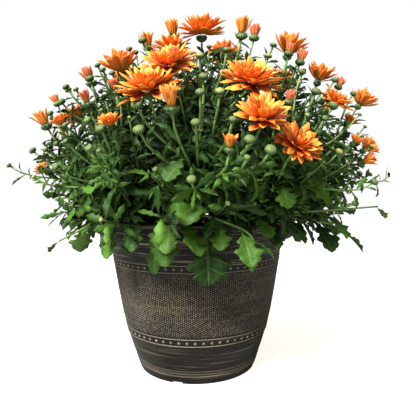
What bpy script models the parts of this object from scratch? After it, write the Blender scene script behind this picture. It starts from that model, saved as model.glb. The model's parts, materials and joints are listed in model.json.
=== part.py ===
"""Pot chrysanthemum: a dome of orange blooms, buds and cut leaves in a bronze-look pot.

Metres, +Z up. The origin is the middle of the pot's flat base. The viewer stands at -Y.
Leafy stems fan out of the soil. Each keeps to its own share of the dome, the cone of
directions from CROWN that are nearest to its own, so that no two stems cross.
"""
import math
import random

import bmesh
import bpy
from mathutils import Matrix, Vector

# The pot
POT_SEGMENTS = 40
FOOT_RADIUS = 0.0700
LIP_RADIUS = 0.1200
LIP_BOTTOM_RADIUS = 0.1180
LIP_TOP = 0.1790
LIP_BOTTOM = 0.1580
LIP_WALL = 0.0028
WALL = 0.0026
FLOOR = 0.0040
# Where the outer wall passes, from the foot up to the lip: height, radius
WALL_POINTS = [(0.0100, 0.0743), (0.0300, 0.0813), (0.0467, 0.0864), (0.0700, 0.0918),
               (0.1000, 0.0972), (0.1320, 0.1024), (0.1580, 0.1066)]
# Raised bands: lowest and highest height
BANDS = [(0.0467, 0.0556), (0.1280, 0.1365)]
BAND_RISE = 0.0006
BAND_EDGE = 0.0005
WALL_STEP = 0.0380
NOTCHES = 4
NOTCH_WIDTH = 0.0120
NOTCH_HEIGHT = 0.0022
NOTCH_DEPTH = 0.0050
FIRST_NOTCH = math.radians(-107)

# The soil
GAP = 0.0003
SOIL_TOP = 0.1560
SOIL_MOUND = 0.0050
SOIL_RINGS = (0.022, 0.046, 0.072)
HOLE_DEPTH = 0.0250
HOLE_LENGTH = 0.0600

# The plant
SEED = 11
CROWN = Vector((0.006, 0.0, 0.095))
DOME_CENTRE = Vector((0.017, 0.0, 0.235))
# Rings of leafy stems: how many, degrees from upright, first azimuth
STEM_RINGS = [(1, 3.0, -60.0), (5, 27.0, -90.0), (10, 48.0, -90.0)]
STEM_BASE = 0.0026
STEM_TIP = 0.0017
STEM_REACH = 0.200
STEM_BOW = 0.024
STEM_MIDDLE = 0.55
SINK = 0.0025
SHOOT_SHARE = 0.33
SHOOT_RADII = (0.0019, 0.0017, 0.0015, 0.0013, 0.0011)
# Where a stalk leaves its stem, as a share of the stem: least and most, how it grows with the
# stalk's reach, and the step from one fork to the next
FORK_RANGE = (0.45, 0.86)
FORK_GROWTH = (0.62, 0.08)
FORKS = 9
FORK_STEP = 0.0125
# How far a stalk keeps its first and last direction, as shares of its length
STALK_START = 0.35
STALK_END = 0.30
STALK = 0.0012
BUD_RADIUS = 0.0045
BUD_SPREAD = (0.75, 1.15)
# The cup under a bloom and the neck below it: least size, and growth with the bloom's radius
CUP = (0.0022, 0.10)
NECK = (0.0035, 0.08)
# Lean of a bud towards the sky, beside its outward direction
BUD_LIFT = 0.9
# A bud's shape past its stalk: height and radius as shares of its size
BUD_SWELL = [(0.9, 1.0), (1.7, 0.45)]
BLADE = 0.0007
LEAVES_PER_STEM = 5
LEAF_SHARES = (0.44, 0.96)
LEAFY_STALKS = 3
# Lengths of the leaves on stems, stalks and low shoots
STEM_LEAF = (0.046, 0.060)
STALK_LEAF = (0.030, 0.042)
STALK_SHARES = (0.35, 0.60)
SHOOT_LEAF = (0.038, 0.052)
# Degrees that a leaf leans from its stem and arches over, its relative width and its fold
LEAF_LEAN = (48, 66)
LEAF_ARCH = (18, 60)
LEAF_WIDTH = (0.85, 1.15)
LEAF_FOLD = 0.30
# A leaf that meets something is turned on by sixths of a turn, then made shorter
LEAF_TURNS = 6
LEAF_SHRINKS = (1.0, 0.78, 0.6)
# A leaf of a low shoot tries these sideways turns and droops, in radians, to clear the pot
HANG_TRIES = ((0.9, 0.5), (0.6, 0.4), (0.3, 0.3), (0.0, 0.2), (0.0, -0.3))
HANG_ARCH = 0.55
# Leaves of a stem get shorter up the stem: size at its start, and what is lost to its end
LEAF_TAPER = (1.10, 0.25)
# Leaves keep this far from the points of a low leaf and of a low shoot
LOW_LEAF_ROOM = 0.0070
SHOOT_ROOM = 0.0040
# Leaves of one stem keep this far apart, past the two points where they join it
LEAF_ROOM = 0.0060
LEAF_FREE = 2
GOLDEN_TURN = math.radians(137.5)
# Leaves keep this far inside the lip, above the soil, and outside or above the lip
POT_ROOM = (0.020, 0.010, 0.0025)
# Balls that stand for a bloom: one in its middle and a ring of them. Each is given by its
# distance along and square to the axis and its radius, as shares of the bloom's radius
MIDDLE_BALL = (0.35, 0.62)
RING_BALL = (0.30, 0.70, 0.42)
RING_BALLS = 8
SMALL_BLOOM = 0.012
CELL_MARGIN = 0.0006

# Blooms: azimuth, degrees from upright, reach from CROWN in mm, diameter in mm,
# degrees that the face is tilted up from level, and how far it has opened
# Blooms are given by their middle, which stands this share of their radius above the base
BLOOM_MIDDLE = {"open": 0.32, "half": 0.32, "cup": 0.32, "brush": 0.40}
BLOOMS = [
    (-88, 19, 298, 50, 72, "half"), (-107, 20, 284, 42, 66, "half"), (-100, 33, 277, 53, 50, "open"),
    (-127, 28, 275, 42, 72, "cup"), (-102, 43, 277, 54, 62, "open"), (-95, 49, 276, 18, 66, "brush"),
    (-114, 46, 252, 22, 60, "cup"), (-140, 32, 274, 15, 66, "brush"), (-132, 38, 260, 14, 66, "brush"),
    (-161, 43, 267, 20, 62, "brush"), (-146, 42, 254, 23, 60, "cup"), (-64, 20, 299, 20, 78, "brush"),
    (-40, 25, 294, 42, 74, "cup"), (-72, 36, 269, 58, 54, "open"), (-30, 32, 282, 37, 66, "cup"),
    (-75, 49, 267, 44, 52, "half"), (-37, 40, 270, 36, 54, "half"), (-12, 41, 292, 36, 56, "cup"),
    (-65, 52, 251, 42, 34, "half"), (-83, 54, 255, 12, 70, "brush"), (-21, 50, 255, 29, 40, "cup"),
    (-29, 53, 244, 16, 20, "brush"), (-111, 15, 298, 20, 74, "brush"), (-122, 20, 289, 17, 72, "brush"),
    (-36, 49, 252, 16, 50, "cup"), (-27, 43, 261, 17, 55, "cup"), (-118, 37, 264, 12, 60, "brush"),
    (40, 8, 303, 52, 84, "half"), (22, 24, 295, 50, 70, "half"), (96, 22, 296, 54, 68, "open"),
    (158, 22, 290, 46, 68, "cup"), (8, 36, 280, 24, 60, "brush"), (50, 36, 283, 52, 56, "half"),
    (128, 38, 278, 50, 54, "half"), (172, 37, 276, 44, 56, "half"), (78, 44, 272, 40, 50, "cup"),
    (104, 49, 264, 54, 42, "open"), (22, 50, 262, 44, 42, "half"), (48, 53, 254, 22, 48, "brush"),
    (146, 52, 258, 48, 40, "half"), (176, 54, 252, 26, 46, "cup"), (66, 60, 240, 40, 30, "half"),
]
# Buds on the side that the blooms leave open: azimuth, degrees from upright, reach in mm
BUDS = [
    (-152, 35, 278), (-144, 35, 270), (-143, 28, 282), (-134, 30, 275), (-123, 33, 271),
    (-121, 46, 254), (-156, 41, 266), (-116, 25, 289), (-89, 31, 275), (-88, 39, 269),
    (-89, 44, 267), (-84, 43, 265), (-90, 51, 262), (-78, 28, 279), (-103, 48, 269),
    (-102, 52, 260), (-113, 50, 256), (-71, 26, 290), (-56, 27, 289), (-63, 31, 280),
    (-43, 29, 293), (-82, 50, 262), (-79, 54, 258), (-33, 36, 282), (-53, 41, 269),
    (-20, 39, 285), (-46, 43, 264), (-168, 50, 256), (-134, 45, 252), (-31, 61, 210),
    (-75, 56, 257), (-52, 35, 276), (-151, 38, 267),
    (2, 48, 268), (36, 44, 276), (64, 30, 292), (116, 30, 288), (142, 30, 284), (160, 45, 266),
    (92, 58, 248), (124, 56, 250), (34, 60, 240),
]
# Low side shoots over the lip: azimuth, distance from the pot's axis and height in mm
SHOOTS = [
    [(-120, 90, 183), (-132, 127, 189), (-143, 146, 174), (-152, 165, 160)],
    [(-97, 90, 181), (-98, 124, 187), (-98, 134, 182)],
    [(-86, 90, 182), (-84, 126, 188), (-72, 150, 176), (-69, 156, 166)],
    [(-58, 92, 182), (-56, 126, 189), (-36, 162, 191), (-17, 212, 194)],
    [(-30, 92, 180), (-32, 126, 187), (-30, 150, 180), (-28, 168, 176)],
    [(-172, 92, 182), (-171, 126, 190), (-169, 141, 196), (-168, 152, 206)],
    [(10, 92, 182), (12, 126, 188), (15, 158, 182), (17, 180, 178)],
    [(48, 92, 182), (47, 126, 189), (44, 156, 186), (41, 184, 190)],
    [(84, 92, 182), (86, 126, 188), (89, 152, 176), (92, 164, 166)],
    [(122, 92, 182), (121, 126, 188), (118, 156, 184), (116, 182, 186)],
    [(156, 92, 182), (157, 126, 188), (160, 152, 178), (162, 166, 170)],
]
# How long the leaf at the end of each shoot is, beside its other leaves
SHOOT_TIPS = (0.45, 0.90, 0.60, 0.45, 0.90, 0.75, 0.90, 0.90, 0.90, 0.90, 0.90)
# Each stage of bloom: petals in a row, core radius and core height as shares of the bloom's
# radius, then the rows from the outside in: length and width of a petal as shares of the
# bloom's radius, degrees above the face, curl in radians, and where on the core it is rooted
BLOOM_KINDS = {
    "open": (7, 0.20, 0.50, [(0.82, 0.26, 4, 0.16, 0.06, 0.15), (0.76, 0.24, 28, 0.14, 0.20, 0.28),
                             (0.52, 0.19, 58, -0.12, 0.33, 0.40)]),
    "half": (7, 0.20, 0.44, [(0.82, 0.26, 8, 0.20, 0.06, 0.16), (0.72, 0.24, 38, 0.10, 0.22, 0.32)]),
    "cup": (6, 0.22, 0.50, [(0.96, 0.30, 36, 0.30, 0.06, 0.16), (0.88, 0.26, 62, 0.16, 0.24, 0.34)]),
    "brush": (6, 0.36, 1.30, [(1.60, 0.42, 72, 0.10, 0.08, 0.24)]),
}
KEEL = 0.0009
# One side of a leaf from its stalk to its tip: share of length, half width as share of length
LEAF_SIDE = [(0.00, 0.030), (0.36, 0.250), (0.50, 0.140), (0.72, 0.330)]

GREEN_LEAF = (0.07, 0.20, 0.03)
ORANGE = (0.86, 0.25, 0.03)
BRONZE = (0.045, 0.038, 0.030)
EARTH = (0.030, 0.020, 0.014)


# Small helpers

def clear_scene():
    for thing in list(bpy.data.objects):
        bpy.data.objects.remove(thing, do_unlink=True)


def make_material(name, colour, roughness, metallic=0.0):
    material = bpy.data.materials.new(name)
    material.use_nodes = True
    shader = material.node_tree.nodes["Principled BSDF"]
    shader.inputs["Base Color"].default_value = (*colour, 1.0)
    shader.inputs["Roughness"].default_value = roughness
    shader.inputs["Metallic"].default_value = metallic
    return material


def make_object(name, points, faces):
    mesh = bpy.data.meshes.new(name)
    mesh.from_pydata([tuple(p) for p in points], [], faces)
    mesh.update()
    thing = bpy.data.objects.new(name, mesh)
    bpy.context.scene.collection.objects.link(thing)
    return thing


def direction(azimuth, polar):
    a = math.radians(azimuth)
    p = math.radians(polar)
    return Vector((math.sin(p) * math.cos(a), math.sin(p) * math.sin(a), math.cos(p)))


def around(azimuth, radius, height):
    a = math.radians(azimuth)
    return Vector((radius * math.cos(a), radius * math.sin(a), height))


def side_of(axis, turn):
    """A unit vector square to axis, turned round it from the most level one."""
    level = axis.cross(Vector((0, 0, 1)))
    if level.length < 0.01:
        level = Vector((1, 0, 0))
    return Matrix.Rotation(turn, 3, axis) @ level.normalized()


def on_curve(points, share):
    """A place on a Bezier curve with two, three or four control points."""
    row = list(points)
    while len(row) > 1:
        row = [a.lerp(b, share) for a, b in zip(row, row[1:])]
    return row[0]


def curve(points, steps):
    return [on_curve(points, i / steps) for i in range(steps + 1)]


# Pieces, each a list of points and a list of faces

def tube(path, radii, sides):
    points = []
    faces = []
    across = None
    for i, place in enumerate(path):
        ahead = path[min(i + 1, len(path) - 1)]
        behind = path[max(i - 1, 0)]
        along = (ahead - behind).normalized()
        if across is None:
            across = side_of(along, 0.0)
        across = (across - along * across.dot(along)).normalized()
        other = along.cross(across)
        for k in range(sides):
            turn = 2 * math.pi * k / sides
            points.append(place + (across * math.cos(turn) + other * math.sin(turn)) * radii[i])
    for i in range(len(path) - 1):
        for k in range(sides):
            a = i * sides + k
            b = i * sides + (k + 1) % sides
            faces.append((a, b, b + sides, a + sides))
    faces.append(tuple(reversed(range(sides))))
    faces.append(tuple(range((len(path) - 1) * sides, len(path) * sides)))
    return points, faces


def leaf_spine(leaf, share):
    """Place, side and upward direction at a share of a leaf's length, arched along it."""
    steps = 8
    place = leaf["root"].copy()
    ahead = leaf["ahead"]
    up = leaf["up"]
    across = ahead.cross(up).normalized()
    bend = leaf["arch"] * share / steps
    for _ in range(steps):
        place = place + ahead * (leaf["length"] * share / steps)
        turn = Matrix.Rotation(-bend, 3, across)
        ahead = turn @ ahead
        up = turn @ up
    return place, across, up


def leaf_outline(leaf):
    """Left and right edge points of a leaf, folded up a little along its midrib."""
    fold = leaf["fold"]
    left = []
    right = []
    for share, half in LEAF_SIDE:
        place, across, up = leaf_spine(leaf, share)
        reach = half * leaf["length"] * leaf["width"]
        lift = up * (reach * math.sin(fold))
        left.append(place - across * (reach * math.cos(fold)) + lift)
        right.append(place + across * (reach * math.cos(fold)) + lift)
    tip = leaf_spine(leaf, 1.0)[0]
    return left, right, tip


def blade(leaf):
    """A thin closed leaf. Its two faces are split alike, so they never cross."""
    left, right, tip = leaf_outline(leaf)
    count = len(left)
    outline = left + [tip] + list(reversed(right))
    size = len(outline)
    shift = leaf["up"] * (BLADE / 2)
    points = [p + shift for p in outline] + [p - shift for p in outline]
    top = []
    for i in range(count - 1):
        a, b = i, i + 1
        d, c = size - 1 - i, size - 2 - i
        top.append((a, d, c))
        top.append((a, c, b))
    top.append((count - 1, count + 1, count))
    faces = list(top)
    for a, b, c in top:
        faces.append((c + size, b + size, a + size))
    for i in range(size):
        j = (i + 1) % size
        faces.append((i, j, j + size))
        faces.append((i, j + size, i + size))
    return points, faces


def bloom_form(bloom):
    """One closed body: a small core with rows of keeled petals that grow out of it."""
    radius = bloom["radius"]
    axis = bloom["axis"]
    base = bloom["base"]
    count, core, apex, rows = BLOOM_KINDS[bloom["kind"]]
    step = 2 * math.pi / count
    points = [base]
    faces = []

    def spoke(turn):
        return side_of(axis, turn)

    def ring(share, height, offset):
        """Points on the core, half a step to the side of each petal."""
        first = len(points)
        for i in range(count):
            place = spoke(offset + (i - 0.5) * step) * (radius * share)
            points.append(base + axis * (radius * height) + place)
        return [first + i for i in range(count)] + [first]

    below = ring(core * 0.7, 0.0, 0.0)
    faces += [(0, below[i + 1], below[i]) for i in range(count)]
    for row, (share, width, rise, curl, low, high) in enumerate(rows):
        offset = 0.5 * step * row
        foot = ring(core * (1.0 - 0.25 * row), low, offset)
        top = ring(core * (1.0 - 0.25 * row), high, offset)
        for i in range(count):
            if row == 0:
                faces += [(below[i], below[i + 1], foot[i + 1]), (below[i], foot[i + 1], foot[i])]
            else:
                faces += [(below[i], below[i + 1], foot[i]), (below[i + 1], foot[i + 1], foot[i])]
            out = spoke(offset + i * step)
            tilt = math.radians(rise)
            ahead = out * math.cos(tilt) + axis * math.sin(tilt)
            up = axis * math.cos(tilt) - out * math.sin(tilt)
            across = ahead.cross(up)
            root = base + axis * (radius * (low + high) / 2) + out * (radius * core * (1.0 - 0.25 * row))
            middle = root + ahead * (radius * share * 0.55)
            end = middle + (Matrix.Rotation(curl, 3, across) @ ahead) * (radius * share * 0.45)
            half = radius * width / 2
            first = len(points)
            points.extend([middle + across * half, middle - across * half, middle - up * KEEL, end])
            a, b, keel, tip = first, first + 1, first + 2, first + 3
            left, right = foot[i], foot[i + 1]
            high_left, high_right = top[i], top[i + 1]
            faces += [(left, a, high_left), (right, high_right, b), (left, right, keel),
                      (left, keel, a), (keel, tip, a), (keel, b, tip), (right, b, keel),
                      (high_left, a, b), (high_left, b, high_right), (a, tip, b)]
        below = top
    points.append(base + axis * (radius * apex))
    faces += [(below[i], below[i + 1], len(points) - 1) for i in range(count)]
    return points, faces


# Where things grow

def stem_axes():
    axes = []
    for count, polar, first in STEM_RINGS:
        for i in range(count):
            axes.append(direction(first + 360.0 * i / count, polar))
    return axes


def own_stem(point, axes):
    ray = (point - CROWN).normalized()
    return max(range(len(axes)), key=lambda i: ray.dot(axes[i]))


def in_cell(points, stem, axes):
    for i, axis in enumerate(axes):
        if i == stem:
            continue
        wall = (axes[stem] - axis).normalized()
        if min((p - CROWN).dot(wall) for p in points) < CELL_MARGIN:
            return False
    return True


def plan_blooms(axes):
    blooms = []
    for azimuth, polar, reach, diameter, tilt, kind in BLOOMS:
        place = CROWN + direction(azimuth, polar) * (reach / 1000)
        out = place - DOME_CENTRE
        axis = direction(math.degrees(math.atan2(out.y, out.x)), 90 - tilt)
        radius = diameter / 2000
        base = place - axis * (radius * BLOOM_MIDDLE[kind])
        blooms.append({"base": base, "axis": axis, "kind": kind, "radius": radius,
                       "stem": own_stem(base, axes)})
    return blooms


def main_path(axis):
    """From the hole in the soil outward, bowed up a little."""
    start = CROWN + axis * ((SOIL_TOP - HOLE_DEPTH - CROWN.z) / axis.z)
    end = CROWN + axis * STEM_REACH
    middle = start.lerp(end, STEM_MIDDLE) + Vector((0, 0, STEM_BOW)) * (1 - axis.z)
    return [start, middle, end]


def stalk_path(main, axis, top, facing, count):
    """From the stem to a bloom or bud, which it meets square. No two leave at one height."""
    reach = (top - CROWN).length
    share = FORK_GROWTH[0] * reach / STEM_REACH - FORK_GROWTH[1]
    share = min(FORK_RANGE[1], max(FORK_RANGE[0], share))
    root = on_curve(main, share + FORK_STEP * (count % FORKS))
    length = (top - root).length
    return [root, root + axis * (length * STALK_START), top - facing * (length * STALK_END), top]


def bloom_blocks(blooms):
    """Balls that stand for the blooms, which leaves keep out of."""
    balls = []
    for bloom in blooms:
        radius = bloom["radius"]
        balls.append((bloom["base"] + bloom["axis"] * (radius * MIDDLE_BALL[0]), radius * MIDDLE_BALL[1]))
        if radius < SMALL_BLOOM:
            continue
        along, out, size = RING_BALL
        for k in range(RING_BALLS):
            spoke = side_of(bloom["axis"], k * 2 * math.pi / RING_BALLS)
            balls.append((bloom["base"] + spoke * (radius * out) + bloom["axis"] * (radius * along),
                          radius * size))
    return balls


def clear_of(points, balls):
    for centre, radius in balls:
        for p in points:
            if (p - centre).length < radius:
                return False
    return True


def clear_of_pot(points):
    for p in points:
        level = math.hypot(p.x, p.y)
        inside = level < LIP_RADIUS - POT_ROOM[0] and p.z > SOIL_TOP + POT_ROOM[1]
        outside = level > LIP_RADIUS + POT_ROOM[2]
        if not (inside or outside or p.z > LIP_TOP + POT_ROOM[2]):
            return False
    return True


def leaf_points(leaf):
    left, right, tip = leaf_outline(leaf)
    middle = [leaf_spine(leaf, share)[0] for share in (0.3, 0.55, 0.8)]
    return left[:1] + right[:1] + left[1:] + right[1:] + middle + [tip]


def try_leaf(root, along, turn, length, rng, tests):
    """A leaf on a stem, turned further round and made shorter until it is clear."""
    lean = math.radians(rng.uniform(*LEAF_LEAN))
    arch = math.radians(rng.uniform(*LEAF_ARCH))
    width = rng.uniform(*LEAF_WIDTH)
    for shrink in LEAF_SHRINKS:
        for step in range(LEAF_TURNS):
            away = side_of(along, turn + step * 2 * math.pi / LEAF_TURNS)
            ahead = (along * math.cos(lean) + away * math.sin(lean)).normalized()
            up = (along * math.sin(lean) - away * math.cos(lean)).normalized()
            leaf = {"root": root, "ahead": ahead, "up": up, "length": length * shrink,
                    "width": width, "arch": arch, "fold": LEAF_FOLD}
            if all(test(leaf_points(leaf)) for test in tests):
                return leaf
    return None


def hang_leaf(root, outward, turn, length, drop):
    """A leaf on a low shoot, which points out and hangs down."""
    ahead = Matrix.Rotation(turn, 3, Vector((0, 0, 1))) @ outward
    ahead = (ahead * math.cos(drop) - Vector((0, 0, 1)) * math.sin(drop)).normalized()
    across = ahead.cross(Vector((0, 0, 1))).normalized()
    return {"root": root, "ahead": ahead, "up": across.cross(ahead), "length": length,
            "width": 1.0, "arch": HANG_ARCH, "fold": LEAF_FOLD}


def plan_plant():
    """Every stem with its stalks, leaves and buds, and every bloom."""
    rng = random.Random(SEED)
    axes = stem_axes()
    blooms = plan_blooms(axes)
    balls = bloom_blocks(blooms)
    stems = [{"main": main_path(axis), "axis": axis, "stalks": [], "leaves": [], "shoots": []} for axis in axes]
    plan_shoots(stems, axes, balls, rng)
    for bloom in blooms:
        stem = stems[bloom["stem"]]
        cup = CUP[0] + bloom["radius"] * CUP[1]
        height = NECK[0] + bloom["radius"] * NECK[1]
        top = bloom["base"] - bloom["axis"] * (GAP + height)
        path = stalk_path(stem["main"], stem["axis"], top, bloom["axis"], len(stem["stalks"]))
        stem["stalks"].append((path, [(height, cup)]))
    for azimuth, polar, reach in BUDS:
        place = CROWN + direction(azimuth, polar) * (reach / 1000)
        stem = stems[own_stem(place, axes)]
        facing = (place - DOME_CENTRE).normalized() + Vector((0, 0, BUD_LIFT))
        facing.normalize()
        size = BUD_RADIUS * rng.uniform(*BUD_SPREAD)
        path = stalk_path(stem["main"], stem["axis"], place, facing, len(stem["stalks"]))
        stem["stalks"].append((path, [(size * height, size * radius) for height, radius in BUD_SWELL]))
    for number, stem in enumerate(stems):
        tests = [lambda points, n=number: in_cell(points, n, axes),
                 lambda points: clear_of(points, balls), clear_of_pot]
        plan_leaves(stem, rng, tests)
    return stems, blooms


def plan_shoots(stems, axes, balls, rng):
    """Low side shoots, each with a leaf at every joint past the lip."""
    for rows, tip in zip(SHOOTS, SHOOT_TIPS):
        path = [around(azimuth, reach / 1000, height / 1000) for azimuth, reach, height in rows]
        stem = stems[own_stem(path[0], axes)]
        stem["shoots"].append([on_curve(stem["main"], SHOOT_SHARE)] + path)
        for i in range(1, len(path)):
            step = path[i] - path[i - 1]
            level = Vector((step.x, step.y, 0)).normalized()
            if i == 1 and len(path) > 3:
                continue
            side = 0.0 if i == len(path) - 1 else (1.0 if i % 2 else -1.0)
            length = rng.uniform(*SHOOT_LEAF) * (tip if i == len(path) - 1 else 1.0)
            for turn, drop in HANG_TRIES:
                leaf = hang_leaf(path[i] - step.normalized() * SINK, level, turn * side, length, drop)
                if clear_of_pot(leaf_points(leaf)):
                    break
            stem["leaves"].append(leaf)
            balls.extend((p, LOW_LEAF_ROOM) for p in leaf_points(leaf))
        balls.extend((p, SHOOT_ROOM) for p in curve(path, 8)[2:])


def plan_leaves(stem, rng, tests):
    """Leaves in a spiral up the stem, and one on each of the first few stalks."""
    turn = rng.uniform(0, 2 * math.pi)
    places = []
    own = []
    tests = tests + [lambda points: clear_of(points[2:], own)]
    for i in range(LEAVES_PER_STEM):
        share = LEAF_SHARES[0] + (LEAF_SHARES[1] - LEAF_SHARES[0]) * i / (LEAVES_PER_STEM - 1)
        places.append((stem["main"], share, rng.uniform(*STEM_LEAF) * (LEAF_TAPER[0] - LEAF_TAPER[1] * share)))
    for stalk, swell in stem["stalks"][:LEAFY_STALKS]:
        places.append((stalk, rng.uniform(*STALK_SHARES), rng.uniform(*STALK_LEAF)))
    for path, share, length in places:
        root = on_curve(path, share)
        along = (on_curve(path, share + 0.02) - root).normalized()
        turn += GOLDEN_TURN
        leaf = try_leaf(root, along, turn, length, rng, tests)
        if leaf:
            stem["leaves"].append(leaf)
            own.extend((p, LEAF_ROOM) for p in leaf_points(leaf)[LEAF_FREE:])


# Building

def join(name, pieces, material):
    """Fuses a node's pieces into one closed body with a single union."""
    body = make_object(name, *pieces[0])
    others = bpy.data.collections.new(name + "_others")
    bpy.context.scene.collection.children.link(others)
    for i, piece in enumerate(pieces[1:]):
        thing = make_object(f"{name}_{i}", *piece)
        bpy.context.scene.collection.objects.unlink(thing)
        others.objects.link(thing)
    union = body.modifiers.new("union", "BOOLEAN")
    union.operation = "UNION"
    union.operand_type = "COLLECTION"
    union.collection = others
    union.solver = "MANIFOLD"
    bpy.context.view_layer.update()
    graph = bpy.context.evaluated_depsgraph_get()
    fused = bpy.data.meshes.new_from_object(body.evaluated_get(graph))
    body.modifiers.clear()
    body.data = fused
    for thing in list(others.objects):
        bpy.data.objects.remove(thing, do_unlink=True)
    bpy.data.collections.remove(others)
    split_faces(fused)
    fused.materials.clear()
    fused.materials.append(material)
    keep_largest(fused)
    return body


def split_faces(mesh):
    shape = bmesh.new()
    shape.from_mesh(mesh)
    bmesh.ops.triangulate(shape, faces=shape.faces[:], quad_method="BEAUTY", ngon_method="BEAUTY")
    shape.to_mesh(mesh)
    shape.free()


def keep_largest(mesh):
    """Drops loose scraps and fills sealed hollows: only the outer body stays."""
    shape = bmesh.new()
    shape.from_mesh(mesh)
    left = set(shape.verts)
    groups = []
    while left:
        group = set()
        edge = [left.pop()]
        while edge:
            vert = edge.pop()
            group.add(vert)
            for link in vert.link_edges:
                other = link.other_vert(vert)
                if other in left:
                    left.remove(other)
                    edge.append(other)
        groups.append(group)
    groups.sort(key=len)
    for group in groups[:-1]:
        bmesh.ops.delete(shape, geom=list(group), context="VERTS")
    shape.to_mesh(mesh)
    shape.free()


def build_stem(number, stem, material):
    path = curve(stem["main"], 3)
    radii = [STEM_BASE + (STEM_TIP - STEM_BASE) * i / 3 for i in range(4)]
    pieces = [tube(path, radii, 5)]
    for shoot in stem["shoots"]:
        pieces.append(tube(shoot, SHOOT_RADII[:len(shoot)], 3))
    for stalk, swell in stem["stalks"]:
        path = curve(stalk, 2)
        radii = [STALK * 1.2, STALK, STALK]
        for height, radius in swell:
            path.append(stalk[-1] + stem_facing(stalk) * height)
            radii.append(radius)
        pieces.append(tube(path, radii, 4))
    for leaf in stem["leaves"]:
        pieces.append(blade(leaf))
    return join(f"leafy_stem_{number + 1:02d}", pieces, material)


def stem_facing(stalk):
    return (stalk[-1] - stalk[-2]).normalized()


def build_bloom(number, bloom, material):
    points, faces = bloom_form(bloom)
    thing = make_object(f"bloom_{number + 1:02d}", points, faces)
    shape = bmesh.new()
    shape.from_mesh(thing.data)
    bmesh.ops.recalc_face_normals(shape, faces=shape.faces[:])
    shape.to_mesh(thing.data)
    shape.free()
    thing.data.materials.append(material)
    return thing


def wall_radius(height):
    """The outer wall, straight between its measured points."""
    last = len(WALL_POINTS) - 1
    i = 0
    while i < last - 1 and height > WALL_POINTS[i + 1][0]:
        i += 1
    z0, r0 = WALL_POINTS[i]
    z1, r1 = WALL_POINTS[i + 1]
    return r0 + (r1 - r0) * (height - z0) / (z1 - z0)


def pot_profile():
    """Radius and height down the outside, under the lip, and up the inside."""
    outside = [(FOOT_RADIUS, 0.0), (0.0717, 0.0010), (0.0719, 0.0036), (0.0731, 0.0046),
               (0.0733, 0.0074), (wall_radius(0.0100), 0.0084), (wall_radius(0.0280), 0.0280)]
    for low, high in BANDS:
        outside.append((wall_radius(low), low))
        outside.append((wall_radius(low) + BAND_RISE, low + BAND_EDGE))
        outside.append((wall_radius(high) + BAND_RISE, high - BAND_EDGE))
        outside.append((wall_radius(high), high))
        outside.append((wall_radius(high + WALL_STEP), high + WALL_STEP))
    lip = [(LIP_BOTTOM_RADIUS - LIP_WALL, BANDS[-1][1] + WALL_STEP),
           (LIP_BOTTOM_RADIUS - LIP_WALL, LIP_BOTTOM), (LIP_BOTTOM_RADIUS, LIP_BOTTOM),
           (LIP_RADIUS, LIP_TOP - 0.0020), (LIP_RADIUS - 0.0014, LIP_TOP),
           (LIP_RADIUS - 0.0110, LIP_TOP)]
    inside = [(inner_radius(height), height) for height in (LIP_BOTTOM, 0.0850, FLOOR)]
    return outside + lip + inside


def turned(name, profile, segments, material, close_top):
    """A profile turned round the pot's axis; both ends close on the axis."""
    points = [Vector((0, 0, profile[0][1]))]
    for radius, height in profile:
        for k in range(segments):
            turn = 2 * math.pi * k / segments
            points.append(Vector((radius * math.cos(turn), radius * math.sin(turn), height)))
    points.append(Vector((0, 0, close_top)))
    faces = []
    for k in range(segments):
        j = (k + 1) % segments
        faces.append((0, 1 + j, 1 + k))
        last = 1 + (len(profile) - 1) * segments
        faces.append((last + k, last + j, len(points) - 1))
        for i in range(len(profile) - 1):
            a = 1 + i * segments + k
            b = 1 + i * segments + j
            faces.append((a, b, b + segments, a + segments))
    thing = make_object(name, points, faces)
    thing.data.materials.append(material)
    return thing


def build_pot(material):
    pot = turned("pot", pot_profile(), POT_SEGMENTS, material, FLOOR)
    for i in range(NOTCHES):
        turn = FIRST_NOTCH + 2 * math.pi * i / NOTCHES
        bpy.ops.mesh.primitive_cube_add(size=1.0, location=(0, 0, 0))
        cutter = bpy.context.object
        cutter.name = f"notch_cutter_{i}"
        size = Matrix.Diagonal((2 * NOTCH_DEPTH, NOTCH_WIDTH, 2 * NOTCH_HEIGHT, 1.0))
        place = Matrix.Translation((FOOT_RADIUS, 0, 0))
        cutter.data.transform(Matrix.Rotation(turn, 4, "Z") @ place @ size)
        cut_away(pot, cutter)
    return pot


def cut_away(body, cutter):
    cutter.display_type = "WIRE"
    cutter.hide_render = True
    cut = body.modifiers.new("cut_" + cutter.name, "BOOLEAN")
    cut.operation = "DIFFERENCE"
    cut.solver = "MANIFOLD"
    cut.object = cutter


def build_soil(stems, material):
    """Filled to just under the lip, a little uneven, with a plain hole for each stem."""
    edge = [(inner_radius(height) - GAP, height) for height in (FLOOR + GAP, 0.0850, SOIL_TOP)]
    top = []
    for radius in reversed(SOIL_RINGS):
        top.append((radius, SOIL_TOP + SOIL_MOUND * (1 - radius / SOIL_RINGS[-1])))
    soil = turned("soil", edge + top, POT_SEGMENTS // 2, material, SOIL_TOP + SOIL_MOUND)
    for number, stem in enumerate(stems):
        path = curve(stem["main"], 20)
        along = (path[1] - path[0]).normalized()
        radius = (STEM_BASE + GAP) / math.cos(math.pi / 8)
        ends = [path[0] - along * GAP, path[0] + along * HOLE_LENGTH]
        shape = tube(ends, [radius, radius * 1.15], 8)
        cut_away(soil, make_object(f"hole_cutter_{number:02d}", *shape))
    return soil


def inner_radius(height):
    """The pot's inner wall: straight from the floor to half way, and on to the lip."""
    rows = [(FLOOR, FOOT_RADIUS - 0.0010), (0.0850, wall_radius(0.0850) - WALL),
            (LIP_BOTTOM, wall_radius(LIP_BOTTOM) - WALL)]
    for (z0, r0), (z1, r1) in zip(rows, rows[1:]):
        if height <= z1:
            return r0 + (r1 - r0) * (height - z0) / (z1 - z0)
    return rows[-1][1]


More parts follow.
